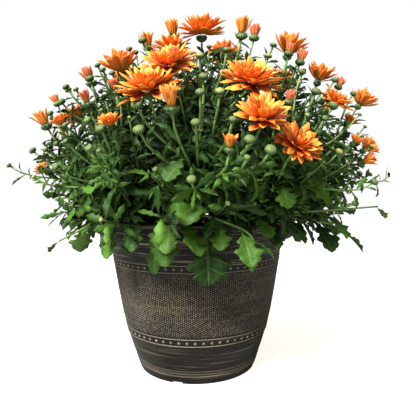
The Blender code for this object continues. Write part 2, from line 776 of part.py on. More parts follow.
def main():
    clear_scene()
    green = make_material("leaf_green", GREEN_LEAF, 0.55)
    orange = make_material("petal_orange", ORANGE, 0.50)
    stems, blooms = plan_plant()
    build_pot(make_material("pot_bronze", BRONZE, 0.45, 0.3))
    build_soil(stems, make_material("soil_dark", EARTH, 0.95))
    for number, stem in enumerate(stems):
        build_stem(number, stem, green)
    for number, bloom in enumerate(blooms):
        build_bloom(number, bloom, orange)


main()
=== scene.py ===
import json
import math
import random

import bmesh
import bpy
import numpy as np
from mathutils import Matrix, Vector

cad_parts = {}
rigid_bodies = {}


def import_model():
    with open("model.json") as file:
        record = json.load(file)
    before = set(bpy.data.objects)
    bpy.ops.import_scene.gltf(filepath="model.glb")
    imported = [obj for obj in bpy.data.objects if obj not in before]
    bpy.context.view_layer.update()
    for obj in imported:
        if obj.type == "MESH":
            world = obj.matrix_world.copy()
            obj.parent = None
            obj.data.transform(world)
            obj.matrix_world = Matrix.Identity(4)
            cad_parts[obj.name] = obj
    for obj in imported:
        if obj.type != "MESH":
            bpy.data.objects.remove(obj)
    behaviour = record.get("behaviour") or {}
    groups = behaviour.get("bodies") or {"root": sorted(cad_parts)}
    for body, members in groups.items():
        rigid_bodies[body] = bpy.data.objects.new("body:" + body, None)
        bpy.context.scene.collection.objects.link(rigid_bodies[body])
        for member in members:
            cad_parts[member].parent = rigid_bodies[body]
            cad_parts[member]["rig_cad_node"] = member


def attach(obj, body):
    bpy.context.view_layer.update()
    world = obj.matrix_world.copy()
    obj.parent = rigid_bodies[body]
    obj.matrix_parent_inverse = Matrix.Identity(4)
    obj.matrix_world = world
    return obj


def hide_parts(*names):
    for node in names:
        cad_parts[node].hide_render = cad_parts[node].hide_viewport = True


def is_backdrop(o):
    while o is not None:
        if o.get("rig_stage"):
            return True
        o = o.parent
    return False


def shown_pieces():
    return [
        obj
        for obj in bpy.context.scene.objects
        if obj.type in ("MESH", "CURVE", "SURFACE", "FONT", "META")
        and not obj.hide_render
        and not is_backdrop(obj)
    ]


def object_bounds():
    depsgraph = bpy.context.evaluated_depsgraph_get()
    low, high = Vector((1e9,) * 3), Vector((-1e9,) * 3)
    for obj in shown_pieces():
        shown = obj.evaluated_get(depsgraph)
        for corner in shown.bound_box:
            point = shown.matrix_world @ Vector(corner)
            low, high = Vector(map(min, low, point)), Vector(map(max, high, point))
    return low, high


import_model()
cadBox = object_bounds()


# Small helpers

def deselectAll():
    if bpy.context.object and bpy.context.object.mode != "OBJECT":
        bpy.ops.object.mode_set(mode="OBJECT")
    bpy.ops.object.select_all(action="DESELECT")


def pickOnly(thing):
    deselectAll()
    thing.select_set(True)
    bpy.context.view_layer.objects.active = thing


def direction(azimuth, polar):
    a = math.radians(azimuth)
    p = math.radians(polar)
    return Vector((math.sin(p) * math.cos(a), math.sin(p) * math.sin(a), math.cos(p)))


def around(azimuth, radius, height):
    a = math.radians(azimuth)
    return Vector((radius * math.cos(a), radius * math.sin(a), height))


def sideOf(axis, turn):
    level = axis.cross(Vector((0, 0, 1)))
    if level.length < 0.01:
        level = Vector((1, 0, 0))
    return Matrix.Rotation(turn, 3, axis) @ level.normalized()


def onCurve(points, share):
    row = list(points)
    while len(row) > 1:
        row = [a.lerp(b, share) for a, b in zip(row, row[1:])]
    return row[0]


def curve(points, steps):
    return [onCurve(points, i / steps) for i in range(steps + 1)]


def between(rows, at):
    # a value read off a list of (place, value) pairs, straight between them
    for (a, low), (b, high) in zip(rows, rows[1:]):
        if at <= b:
            return low + (high - low) * (at - a) / (b - a)
    return rows[-1][1]


# A pile gathers many copies into one mesh: points, faces, a map for patterns that follow the
# surface, and a tone of four numbers for each point

def newPile():
    return {"points": [], "faces": [], "map": [], "tone": [], "count": 0}


def addTo(pile, points, faces, mapped, tone):
    first = pile["count"]
    pile["points"].append(np.asarray(points, float).reshape(-1, 3))
    pile["faces"].extend([tuple(i + first for i in face) for face in faces])
    pile["map"].append(np.asarray(mapped, float).reshape(-1, 2))
    pile["tone"].append(np.asarray(tone, float).reshape(-1, 4))
    pile["count"] += len(pile["points"][-1])


def pileObject(name, pile, material):
    points = np.concatenate(pile["points"])
    low, high = (np.array(corner) for corner in cadBox)
    points = np.clip(points, low, high)
    mesh = bpy.data.meshes.new(name)
    mesh.from_pydata(points.tolist(), [], pile["faces"])
    corner = np.zeros(len(mesh.loops), np.int32)
    mesh.loops.foreach_get("vertex_index", corner)
    mapped = np.concatenate(pile["map"])[corner]
    mesh.uv_layers.new(name="growth").uv.foreach_set("vector", mapped.astype(np.float32).ravel())
    tone = mesh.attributes.new("tone", "FLOAT_COLOR", "POINT")
    tone.data.foreach_set("color", np.concatenate(pile["tone"]).astype(np.float32).ravel())
    mesh.shade_smooth()
    mesh.materials.append(material)
    thing = bpy.data.objects.new(name, mesh)
    bpy.context.scene.collection.objects.link(thing)
    return thing


def setUp(thing, nodes):
    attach(thing, "root")
    for node in nodes:
        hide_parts(node)


# Shader helpers

def newMaterial(name, roughness, specular=0.4):
    material = bpy.data.materials.new(name)
    material.use_nodes = True
    shader = material.node_tree.nodes["Principled BSDF"]
    shader.inputs["Roughness"].default_value = roughness
    shader.inputs["Specular IOR Level"].default_value = specular
    return material, material.node_tree, shader


def addNode(tree, kind, **settings):
    node = tree.nodes.new(kind)
    for key, value in settings.items():
        setattr(node, key, value)
    return node


def mathNode(tree, operation, first, second=None, clamp=False):
    node = addNode(tree, "ShaderNodeMath", operation=operation, use_clamp=clamp)
    for socket, value in zip(node.inputs, (first, second)):
        if value is None:
            continue
        if isinstance(value, (int, float)):
            socket.default_value = value
        else:
            tree.links.new(value, socket)
    return node.outputs[0]


def mixColour(tree, share, first, second, blend="MIX"):
    node = addNode(tree, "ShaderNodeMix", data_type="RGBA", blend_type=blend)
    for socket, value in ((node.inputs[0], share), (node.inputs[6], first), (node.inputs[7], second)):
        if isinstance(value, (int, float)):
            socket.default_value = value
        elif isinstance(value, tuple):
            socket.default_value = (*value, 1.0)
        else:
            tree.links.new(value, socket)
    return node.outputs[2]


def rangeOf(tree, value, low, high, toLow=0.0, toHigh=1.0):
    node = addNode(tree, "ShaderNodeMapRange", interpolation_type="SMOOTHSTEP")
    tree.links.new(value, node.inputs["Value"])
    node.inputs["From Min"].default_value = low
    node.inputs["From Max"].default_value = high
    node.inputs["To Min"].default_value = toLow
    node.inputs["To Max"].default_value = toHigh
    return node.outputs["Result"]


def noiseAt(tree, scale, detail=4.0, stretch=(1, 1, 1), roughness=0.55):
    place = addNode(tree, "ShaderNodeTexCoord").outputs["Object"]
    mapping = addNode(tree, "ShaderNodeMapping")
    mapping.inputs["Scale"].default_value = stretch
    tree.links.new(place, mapping.inputs["Vector"])
    noise = addNode(tree, "ShaderNodeTexNoise")
    noise.inputs["Scale"].default_value = scale
    noise.inputs["Detail"].default_value = detail
    noise.inputs["Roughness"].default_value = roughness
    tree.links.new(mapping.outputs[0], noise.inputs["Vector"])
    return noise.outputs["Fac"]


def toneOf(tree):
    tone = addNode(tree, "ShaderNodeAttribute", attribute_name="tone")
    split = addNode(tree, "ShaderNodeSeparateColor")
    tree.links.new(tone.outputs["Color"], split.inputs[0])
    return split.outputs[0], split.outputs[1], split.outputs[2]


def growthOf(tree):
    place = addNode(tree, "ShaderNodeUVMap", uv_map="growth")
    split = addNode(tree, "ShaderNodeSeparateXYZ")
    tree.links.new(place.outputs[0], split.inputs[0])
    return split.outputs[0], split.outputs[1]


def bumpFrom(tree, shader, height, strength, distance):
    bump = addNode(tree, "ShaderNodeBump")
    bump.inputs["Strength"].default_value = strength
    bump.inputs["Distance"].default_value = distance
    tree.links.new(height, bump.inputs["Height"])
    tree.links.new(bump.outputs[0], shader.inputs["Normal"])


# The plant's layout: the same rule and numbers as in the CAD model

plant = {
    "seed": 11,
    "crown": Vector((0.006, 0.0, 0.095)),
    "domeCentre": Vector((0.017, 0.0, 0.235)),
    "stemRings": [(1, 3.0, -60.0), (5, 27.0, -90.0), (10, 48.0, -90.0)],
    "stemReach": 0.200,
    "stemBow": 0.024,
    "sink": 0.0025,
    "shootShare": 0.33,
    "forks": 9,
    "forkStep": 0.0125,
    "budRadius": 0.0045,
    "leavesPerStem": 5,
    "leafShares": (0.44, 0.96),
    "leafyStalks": 3,
    "leafRoom": 0.0060,
    "leafFree": 2,
    "goldenTurn": math.radians(137.5),
    "cellMargin": 0.0006,
    "gap": 0.0003,
    "bloomMiddle": {"open": 0.32, "half": 0.32, "cup": 0.32, "brush": 0.40},
    # how long the leaf at the end of each low shoot is, beside its other leaves
    "shootTips": (0.45, 0.90, 0.60, 0.45, 0.90, 0.75, 0.90, 0.90, 0.90, 0.90, 0.90),
    "soilTop": 0.1560,
    "holeDepth": 0.0250,
    "lipRadius": 0.1200,
    "lipTop": 0.1790,
    "leafSide": [(0.00, 0.030), (0.36, 0.250), (0.50, 0.140), (0.72, 0.330)],
}

# azimuth, degrees from upright, reach in mm, diameter in mm, tilt of the face, stage
bloomRows = [
    (-88, 19, 298, 50, 72, "half"), (-107, 20, 284, 42, 66, "half"), (-100, 33, 277, 53, 50, "open"),
    (-127, 28, 275, 42, 72, "cup"), (-102, 43, 277, 54, 62, "open"), (-95, 49, 276, 18, 66, "brush"),
    (-114, 46, 252, 22, 60, "cup"), (-140, 32, 274, 15, 66, "brush"), (-132, 38, 260, 14, 66, "brush"),
    (-161, 43, 267, 20, 62, "brush"), (-146, 42, 254, 23, 60, "cup"), (-64, 20, 299, 20, 78, "brush"),
    (-40, 25, 294, 42, 74, "cup"), (-72, 36, 269, 58, 54, "open"), (-30, 32, 282, 37, 66, "cup"),
    (-75, 49, 267, 44, 52, "half"), (-37, 40, 270, 36, 54, "half"), (-12, 41, 292, 36, 56, "cup"),
    (-65, 52, 251, 42, 34, "half"), (-83, 54, 255, 12, 70, "brush"), (-21, 50, 255, 29, 40, "cup"),
    (-29, 53, 244, 16, 20, "brush"), (-111, 15, 298, 20, 74, "brush"), (-122, 20, 289, 17, 72, "brush"),
    (-36, 49, 252, 16, 50, "cup"), (-27, 43, 261, 17, 55, "cup"), (-118, 37, 264, 12, 60, "brush"),
    (40, 8, 303, 52, 84, "half"), (22, 24, 295, 50, 70, "half"), (96, 22, 296, 54, 68, "open"),
    (158, 22, 290, 46, 68, "cup"), (8, 36, 280, 24, 60, "brush"), (50, 36, 283, 52, 56, "half"),
    (128, 38, 278, 50, 54, "half"), (172, 37, 276, 44, 56, "half"), (78, 44, 272, 40, 50, "cup"),
    (104, 49, 264, 54, 42, "open"), (22, 50, 262, 44, 42, "half"), (48, 53, 254, 22, 48, "brush"),
    (146, 52, 258, 48, 40, "half"), (176, 54, 252, 26, 46, "cup"), (66, 60, 240, 40, 30, "half"),
]
# azimuth, degrees from upright, reach in mm
budRows = [
    (-152, 35, 278), (-144, 35, 270), (-143, 28, 282), (-134, 30, 275), (-123, 33, 271),
    (-121, 46, 254), (-156, 41, 266), (-116, 25, 289), (-89, 31, 275), (-88, 39, 269),
    (-89, 44, 267), (-84, 43, 265), (-90, 51, 262), (-78, 28, 279), (-103, 48, 269),
    (-102, 52, 260), (-113, 50, 256), (-71, 26, 290), (-56, 27, 289), (-63, 31, 280),
    (-43, 29, 293), (-82, 50, 262), (-79, 54, 258), (-33, 36, 282), (-53, 41, 269),
    (-20, 39, 285), (-46, 43, 264), (-168, 50, 256), (-134, 45, 252), (-31, 61, 210),
    (-75, 56, 257), (-52, 35, 276), (-151, 38, 267),
    (2, 48, 268), (36, 44, 276), (64, 30, 292), (116, 30, 288), (142, 30, 284), (160, 45, 266),
    (92, 58, 248), (124, 56, 250), (34, 60, 240),
]
# azimuth, distance from the pot's axis and height in mm
shootRows = [
    [(-120, 90, 183), (-132, 127, 189), (-143, 146, 174), (-152, 165, 160)],
    [(-97, 90, 181), (-98, 124, 187), (-98, 134, 182)],
    [(-86, 90, 182), (-84, 126, 188), (-72, 150, 176), (-69, 156, 166)],
    [(-58, 92, 182), (-56, 126, 189), (-36, 162, 191), (-17, 212, 194)],
    [(-30, 92, 180), (-32, 126, 187), (-30, 150, 180), (-28, 168, 176)],
    [(-172, 92, 182), (-171, 126, 190), (-169, 141, 196), (-168, 152, 206)],
    [(10, 92, 182), (12, 126, 188), (15, 158, 182), (17, 180, 178)],
    [(48, 92, 182), (47, 126, 189), (44, 156, 186), (41, 184, 190)],
    [(84, 92, 182), (86, 126, 188), (89, 152, 176), (92, 164, 166)],
    [(122, 92, 182), (121, 126, 188), (118, 156, 184), (116, 182, 186)],
    [(156, 92, 182), (157, 126, 188), (160, 152, 178), (162, 166, 170)],
]


def stemAxes():
    axes = []
    for count, polar, first in plant["stemRings"]:
        for i in range(count):
            axes.append(direction(first + 360.0 * i / count, polar))
    return axes


def ownStem(point, axes):
    ray = (point - plant["crown"]).normalized()
    return max(range(len(axes)), key=lambda i: ray.dot(axes[i]))


def inCell(points, stem, axes):
    for i, axis in enumerate(axes):
        if i == stem:
            continue
        wall = (axes[stem] - axis).normalized()
        if min((p - plant["crown"]).dot(wall) for p in points) < plant["cellMargin"]:
            return False
    return True


def planBlooms(axes):
    blooms = []
    for azimuth, polar, reach, diameter, tilt, kind in bloomRows:
        place = plant["crown"] + direction(azimuth, polar) * (reach / 1000)
        out = place - plant["domeCentre"]
        axis = direction(math.degrees(math.atan2(out.y, out.x)), 90 - tilt)
        radius = diameter / 2000
        base = place - axis * (radius * plant["bloomMiddle"][kind])
        blooms.append({"base": base, "axis": axis, "kind": kind, "radius": radius,
                       "stem": ownStem(base, axes)})
    return blooms


def mainPath(axis):
    crown = plant["crown"]
    start = crown + axis * ((plant["soilTop"] - plant["holeDepth"] - crown.z) / axis.z)
    end = crown + axis * plant["stemReach"]
    middle = start.lerp(end, 0.55) + Vector((0, 0, plant["stemBow"])) * (1 - axis.z)
    return [start, middle, end]


def stalkPath(main, axis, top, facing, count):
    reach = (top - plant["crown"]).length
    share = min(0.86, max(0.45, 0.62 * reach / plant["stemReach"] - 0.08))
    root = onCurve(main, share + plant["forkStep"] * (count % plant["forks"]))
    length = (top - root).length
    return [root, root + axis * (length * 0.35), top - facing * (length * 0.30), top]


def bloomBlocks(blooms):
    balls = []
    for bloom in blooms:
        radius = bloom["radius"]
        balls.append((bloom["base"] + bloom["axis"] * (radius * 0.35), radius * 0.62))
        if radius < 0.012:
            continue
        for k in range(8):
            spoke = sideOf(bloom["axis"], k * math.pi / 4)
            balls.append((bloom["base"] + spoke * (radius * 0.7) + bloom["axis"] * (radius * 0.3),
                          radius * 0.42))
    return balls


def clearOf(points, balls):
    if not balls:
        return True
    centres = np.array([tuple(centre) for centre, radius in balls])
    return clearOfArrays(points, (centres, np.array([radius for centre, radius in balls])))


def clearOfArrays(points, arrays):
    centres, radii = arrays
    places = np.array([tuple(p) for p in points])
    apart = ((places[:, None, :] - centres[None, :, :]) ** 2).sum(2)
    return not (apart < radii[None, :] ** 2).any()


def asArrays(balls):
    return np.array([tuple(centre) for centre, radius in balls]), np.array([radius for centre, radius in balls])


def clearOfPot(points):
    for p in points:
        level = math.hypot(p.x, p.y)
        inside = level < plant["lipRadius"] - 0.020 and p.z > plant["soilTop"] + 0.010
        outside = level > plant["lipRadius"] + 0.0025
        if not (inside or outside or p.z > plant["lipTop"] + 0.0025):
            return False
    return True


def leafSpine(leaf, share):
    steps = 8
    place = leaf["root"].copy()
    ahead = leaf["ahead"]
    up = leaf["up"]
    across = ahead.cross(up).normalized()
    bend = leaf["arch"] * share / steps
    turn = Matrix.Rotation(-bend, 3, across)
    for _ in range(steps):
        place = place + ahead * (leaf["length"] * share / steps)
        ahead = turn @ ahead
        up = turn @ up
    return place, across, up


def leafPoints(leaf):
    left = []
    right = []
    for share, half in plant["leafSide"]:
        place, across, up = leafSpine(leaf, share)
        reach = half * leaf["length"] * leaf["width"]
        lift = up * (reach * math.sin(leaf["fold"]))
        left.append(place - across * (reach * math.cos(leaf["fold"])) + lift)
        right.append(place + across * (reach * math.cos(leaf["fold"])) + lift)
    middle = [leafSpine(leaf, share)[0] for share in (0.3, 0.55, 0.8)]
    return left[:1] + right[:1] + left[1:] + right[1:] + middle + [leafSpine(leaf, 1.0)[0]]


def tryLeaf(root, along, turn, length, rng, tests):
    lean = math.radians(rng.uniform(48, 66))
    arch = math.radians(rng.uniform(18, 60))
    width = rng.uniform(0.85, 1.15)
    for shrink in (1.0, 0.78, 0.6):
        for step in range(6):
            away = sideOf(along, turn + step * math.pi / 3)
            ahead = (along * math.cos(lean) + away * math.sin(lean)).normalized()
            up = (along * math.sin(lean) - away * math.cos(lean)).normalized()
            leaf = {"root": root, "ahead": ahead, "up": up, "length": length * shrink,
                    "width": width, "arch": arch, "fold": 0.30}
            if all(test(leafPoints(leaf)) for test in tests):
                return leaf
    return None


def hangLeaf(root, outward, turn, length, drop):
    ahead = Matrix.Rotation(turn, 3, Vector((0, 0, 1))) @ outward
    ahead = (ahead * math.cos(drop) - Vector((0, 0, 1)) * math.sin(drop)).normalized()
    across = ahead.cross(Vector((0, 0, 1))).normalized()
    return {"root": root, "ahead": ahead, "up": across.cross(ahead), "length": length,
            "width": 1.0, "arch": 0.55, "fold": 0.30}


def planShoots(stems, axes, balls, rng):
    for rows, tip in zip(shootRows, plant["shootTips"]):
        path = [around(azimuth, reach / 1000, height / 1000) for azimuth, reach, height in rows]
        stem = stems[ownStem(path[0], axes)]
        stem["shoots"].append([onCurve(stem["main"], plant["shootShare"])] + path)
        for i in range(1, len(path)):
            step = path[i] - path[i - 1]
            level = Vector((step.x, step.y, 0)).normalized()
            if i == 1 and len(path) > 3:
                continue
            side = 0.0 if i == len(path) - 1 else (1.0 if i % 2 else -1.0)
            length = rng.uniform(0.038, 0.052) * (tip if i == len(path) - 1 else 1.0)
            for turn, drop in ((0.9, 0.5), (0.6, 0.4), (0.3, 0.3), (0.0, 0.2), (0.0, -0.3)):
                leaf = hangLeaf(path[i] - step.normalized() * plant["sink"], level, turn * side, length, drop)
                if clearOfPot(leafPoints(leaf)):
                    break
            leaf["low"] = True
            stem["leaves"].append(leaf)
            balls.extend((p, 0.007) for p in leafPoints(leaf))
        balls.extend((p, 0.004) for p in curve(path, 8)[2:])


def planLeaves(stem, rng, tests):
    turn = rng.uniform(0, 2 * math.pi)
    places = []
    own = []
    tests = tests + [lambda points: clearOf(points[2:], own)]
    low, high = plant["leafShares"]
    for i in range(plant["leavesPerStem"]):
        share = low + (high - low) * i / (plant["leavesPerStem"] - 1)
        places.append((stem["main"], share, rng.uniform(0.046, 0.060) * (1.10 - 0.25 * share)))
    for stalk in stem["stalks"][:plant["leafyStalks"]]:
        places.append((stalk["path"], rng.uniform(0.35, 0.6), rng.uniform(0.030, 0.042)))
    for path, share, length in places:
        root = onCurve(path, share)
        along = (onCurve(path, share + 0.02) - root).normalized()
        turn += plant["goldenTurn"]
        leaf = tryLeaf(root, along, turn, length, rng, tests)
        if leaf:
            stem["leaves"].append(leaf)
            own.extend((p, plant["leafRoom"]) for p in leafPoints(leaf)[plant["leafFree"]:])


def planPlant():
    rng = random.Random(plant["seed"])
    axes = stemAxes()
    blooms = planBlooms(axes)
    balls = bloomBlocks(blooms)
    stems = [{"main": mainPath(axis), "axis": axis, "stalks": [], "leaves": [], "shoots": [], "rim": []}
             for axis in axes]
    planShoots(stems, axes, balls, rng)
    for bloom in blooms:
        stem = stems[bloom["stem"]]
        cup = 0.0022 + bloom["radius"] * 0.10
        height = 0.0035 + bloom["radius"] * 0.08
        top = bloom["base"] - bloom["axis"] * (plant["gap"] + height)
        path = stalkPath(stem["main"], stem["axis"], top, bloom["axis"], len(stem["stalks"]))
        stem["stalks"].append({"path": path, "cup": cup, "height": height, "bloom": bloom})
    for azimuth, polar, reach in budRows:
        place = plant["crown"] + direction(azimuth, polar) * (reach / 1000)
        stem = stems[ownStem(place, axes)]
        facing = (place - plant["domeCentre"]).normalized() + Vector((0, 0, 0.9))
        facing.normalize()
        size = plant["budRadius"] * rng.uniform(0.75, 1.15)
        path = stalkPath(stem["main"], stem["axis"], place, facing, len(stem["stalks"]))
        stem["stalks"].append({"path": path, "bud": size})
    blocks = asArrays(balls)
    for number, stem in enumerate(stems):
        tests = [lambda points, n=number: inCell(points, n, axes),
                 lambda points: clearOfArrays(points, blocks), clearOfPot]
        planLeaves(stem, rng, tests)
    return stems, blooms, axes, blocks


# Shapes that are modelled once and copied

petalShape = {
    "along": 5,
    "across": 2,
    # half width along the petal, as a share of its widest half
    "widths": [(0.0, 0.20), (0.15, 0.46), (0.35, 0.80), (0.60, 1.0), (0.80, 0.90), (0.93, 0.58), (1.0, 0.14)],
    "thickness": 0.022,
}


def shell(name, acrossCount, alongCount, thickness):
    # a flat strip, across -1 to 1 and along 0 to 1, with a second face under it
    deselectAll()
    bpy.ops.mesh.primitive_grid_add(x_subdivisions=acrossCount, y_subdivisions=alongCount, size=1.0)
    strip = bpy.context.object
    strip.name = name
    for vertex in strip.data.vertices:
        vertex.co.x *= 2.0
        vertex.co.y += 0.5
    faceCount = len(strip.data.vertices)
    solid = strip.modifiers.new("wall", "SOLIDIFY")
    solid.thickness = thickness
    solid.offset = -1.0
    bpy.ops.object.modifier_apply(modifier="wall")
    mesh = strip.data
    points = np.array([tuple(v.co) for v in mesh.vertices])
    back = np.array([0.0 if i < faceCount else 1.0 for i in range(len(points))])
    template = {"points": points, "faces": [tuple(p.vertices) for p in mesh.polygons], "back": back}
    bpy.data.objects.remove(strip)
    return template


def petalCopy(template, root, ahead, up, length, width, curl, channel, twist=0.0):
    s, t, z = template["points"].T
    steps = np.linspace(0, 1, 13)
    angle = curl * 1.7 * steps ** 1.4
    forward = np.concatenate([[0], np.cumsum(np.cos(angle[:-1]) / 12)]) * length
    rise = np.concatenate([[0], np.cumsum(np.sin(angle[:-1]) / 12)]) * length
    half = np.interp(t, *zip(*petalShape["widths"])) * width / 2
    bend = np.interp(t, steps, angle)
    across = np.array(ahead.cross(up))
    ahead = np.array(ahead)
    up = np.array(up)
    normal = np.outer(np.cos(bend), up) - np.outer(np.sin(bend), ahead)
    lean = twist * t
    side = np.outer(np.cos(lean), across) + normal * np.sin(lean)[:, None]
    lift = channel * (s ** 2) * half + z * width
    centre = np.array(root) + np.outer(np.interp(t, steps, forward), ahead) + np.outer(np.interp(t, steps, rise), up)
    return centre + side * (s * half)[:, None] + normal * lift[:, None]


leafShape = {
    # half width from the stalk to the tip, as shares of the leaf's length
    "widths": [(0.0, 0.014), (0.15, 0.018), (0.23, 0.050), (0.285, 0.135), (0.335, 0.195), (0.385, 0.210),
               (0.43, 0.170), (0.47, 0.125), (0.515, 0.150), (0.565, 0.250), (0.61, 0.305), (0.655, 0.310),
               (0.70, 0.260), (0.74, 0.205), (0.785, 0.210), (0.83, 0.225), (0.875, 0.190), (0.915, 0.135),
               (0.96, 0.090), (1.0, 0.010)],
    "midWidths": [(0.0, 0.016), (0.21, 0.030), (0.30, 0.130), (0.38, 0.195), (0.46, 0.115), (0.55, 0.205),
                  (0.63, 0.285), (0.70, 0.240), (0.77, 0.165), (0.84, 0.180), (0.91, 0.120), (1.0, 0.006)],
    "smallWidths": [(0.0, 0.020), (0.25, 0.060), (0.45, 0.150), (0.56, 0.085), (0.72, 0.150), (1.0, 0.004)],
    "plainWidths": [(0.0, 0.030), (0.46, 0.145), (1.0, 0.004)],
    "sweep": 0.09,
    "thickness": 0.010,
    "ripple": 0.018,
    "toothRows": 26,
    "tooth": 0.011,
}


def toothed(widths):
    # the same outline in even steps, with a small tooth at every second one
    shares = np.linspace(0, 1, leafShape["toothRows"] + 1)
    halves = np.interp(shares, *zip(*widths))
    teeth = leafShape["tooth"] * np.where(np.arange(len(shares)) % 2, 1, -1) * (shares > 0.28) * (shares < 0.97)
    return list(zip(shares, halves + teeth))


def leafTemplate(name, widths, acrossCount):
    template = shell(name, acrossCount, len(widths) - 1, leafShape["thickness"])
    shares = [share for share, half in widths]
    halves = [half for share, half in widths]
    s, t, z = template["points"].T
    row = t * (len(widths) - 1)
    template["share"] = np.interp(row, range(len(widths)), shares)
    template["half"] = np.interp(row, range(len(widths)), halves)
    template["map"] = np.stack([0.5 + 0.5 * s, template["share"]], 1)
    return template


def leafCopy(template, leaf):
    s, t, z = template["points"].T
    half = template["half"]
    reach = half * leaf["length"] * leaf["width"]
    share = np.minimum(1.0, template["share"] + leafShape["sweep"] * np.abs(s) * np.minimum(1, half * 4)
                       * (1 - template["share"]) * 2)
    steps = np.linspace(0, 1, 9)
    spine = [leafSpine(leaf, step) for step in steps]
    place = np.stack([np.interp(share, steps, [row[0][k] for row in spine]) for k in range(3)], 1)
    up = np.stack([np.interp(share, steps, [row[2][k] for row in spine]) for k in range(3)], 1)
    across = np.array(spine[0][1])
    ripple = leafShape["ripple"] * leaf["length"] * np.sin(share * 34 + leaf.get("phase", 0.0)) * s ** 2
    lift = np.abs(s) * reach * math.sin(leaf["fold"]) + ripple * np.minimum(1, half * 5) + z * leaf["length"]
    return place + np.outer(s * reach * math.cos(leaf["fold"]), across) + up * lift[:, None]


budShape = {"segments": 12, "rings": 6, "flat": 0.64, "ribs": 7, "ribDepth": 0.05}


def budTemplate():
    # a flattened globe with ribs, standing on the origin
    deselectAll()
    bpy.ops.mesh.primitive_uv_sphere_add(segments=budShape["segments"], ring_count=budShape["rings"], radius=1.0)
    globe = bpy.context.object
    points = []
    for vertex in globe.data.vertices:
        x, y, z = vertex.co
        turn = math.atan2(y, x)
        rib = 1 + budShape["ribDepth"] * math.cos(turn * budShape["ribs"]) * math.hypot(x, y)
        points.append((x * rib, y * rib, (z + 1) * budShape["flat"]))
    template = {"points": np.array(points), "faces": [tuple(p.vertices) for p in globe.data.polygons],
                "height": np.array([p[2] / (2 * budShape["flat"]) for p in points])}
    template["map"] = np.array([(0.5 + math.atan2(p[1], p[0]) / (2 * math.pi), h)
                                for p, h in zip(points, template["height"])])
    bpy.data.objects.remove(globe)
    return template


def tubeMesh(path, radii, sides):
    points = []
    faces = []
    mapped = []
    across = None
    travelled = 0.0
    for i, place in enumerate(path):
        ahead = path[min(i + 1, len(path) - 1)]
        behind = path[max(i - 1, 0)]
        along = (ahead - behind).normalized()
        if i:
            travelled += (place - path[i - 1]).length
        if across is None:
            across = sideOf(along, 0.0)
        across = (across - along * across.dot(along)).normalized()
        other = along.cross(across)
        for k in range(sides):
            turn = 2 * math.pi * k / sides
            points.append(place + (across * math.cos(turn) + other * math.sin(turn)) * radii[i])
            mapped.append((k / sides, travelled * 10))
    for i in range(len(path) - 1):
        for k in range(sides):
            a = i * sides + k
            b = i * sides + (k + 1) % sides
            faces.append((a, b, b + sides, a + sides))
    faces.append(tuple(reversed(range(sides))))
    faces.append(tuple(range((len(path) - 1) * sides, len(path) * sides)))
    return [tuple(p) for p in points], faces, mapped


# The pot

pot = {
    "segments": 200,
    "wall": 0.0026,
    "floor": 0.0040,
    "lipWall": 0.0028,
    "lipBottom": 0.1580,
    "lipBottomRadius": 0.1180,
    "footRadius": 0.0700,
    "wallPoints": [(0.0100, 0.0743), (0.0300, 0.0813), (0.0467, 0.0864), (0.0700, 0.0918),
                   (0.1000, 0.0972), (0.1320, 0.1024), (0.1580, 0.1066)],
    "lines": [0.0471, 0.0552, 0.1284, 0.1361],
    "lineRise": 0.0006,
    "lineHalf": 0.0007,
    "ridges": [(0.0095, 0.0005), (0.0125, 0.0005), (0.0160, 0.0004)],
    "notches": 4,
    "notchTurn": math.radians(-107),
    "notch": (0.0100, 0.0120, 0.0044),
    "beadColumns": 270,
    "beadPitch": 0.00230,
    "beadZone": (0.0572, 0.1268),
    "beadRise": 0.00055,
    "rivetRows": [(0.1322, 76, 0.00135), (0.0511, 62, 0.00150)],
}


def wallRadius(height):
    rows = pot["wallPoints"]
    if height < rows[0][0]:
        return rows[0][1]
    return between(rows, height)


def reliefAt(height):
    rise = 0.0
    for line in pot["lines"]:
        rise = max(rise, pot["lineRise"] * max(0.0, 1 - ((height - line) / pot["lineHalf"]) ** 2))
    for ridge, tall in pot["ridges"]:
        rise = max(rise, tall * max(0.0, 1 - ((height - ridge) / 0.0009) ** 2))
    return rise


def innerRadius(height):
    rows = [(pot["floor"], pot["footRadius"] - 0.0010), (0.0850, wallRadius(0.0850) - pot["wall"]),
            (pot["lipBottom"], wallRadius(pot["lipBottom"]) - pot["wall"])]
    return between(rows, min(height, pot["lipBottom"]))


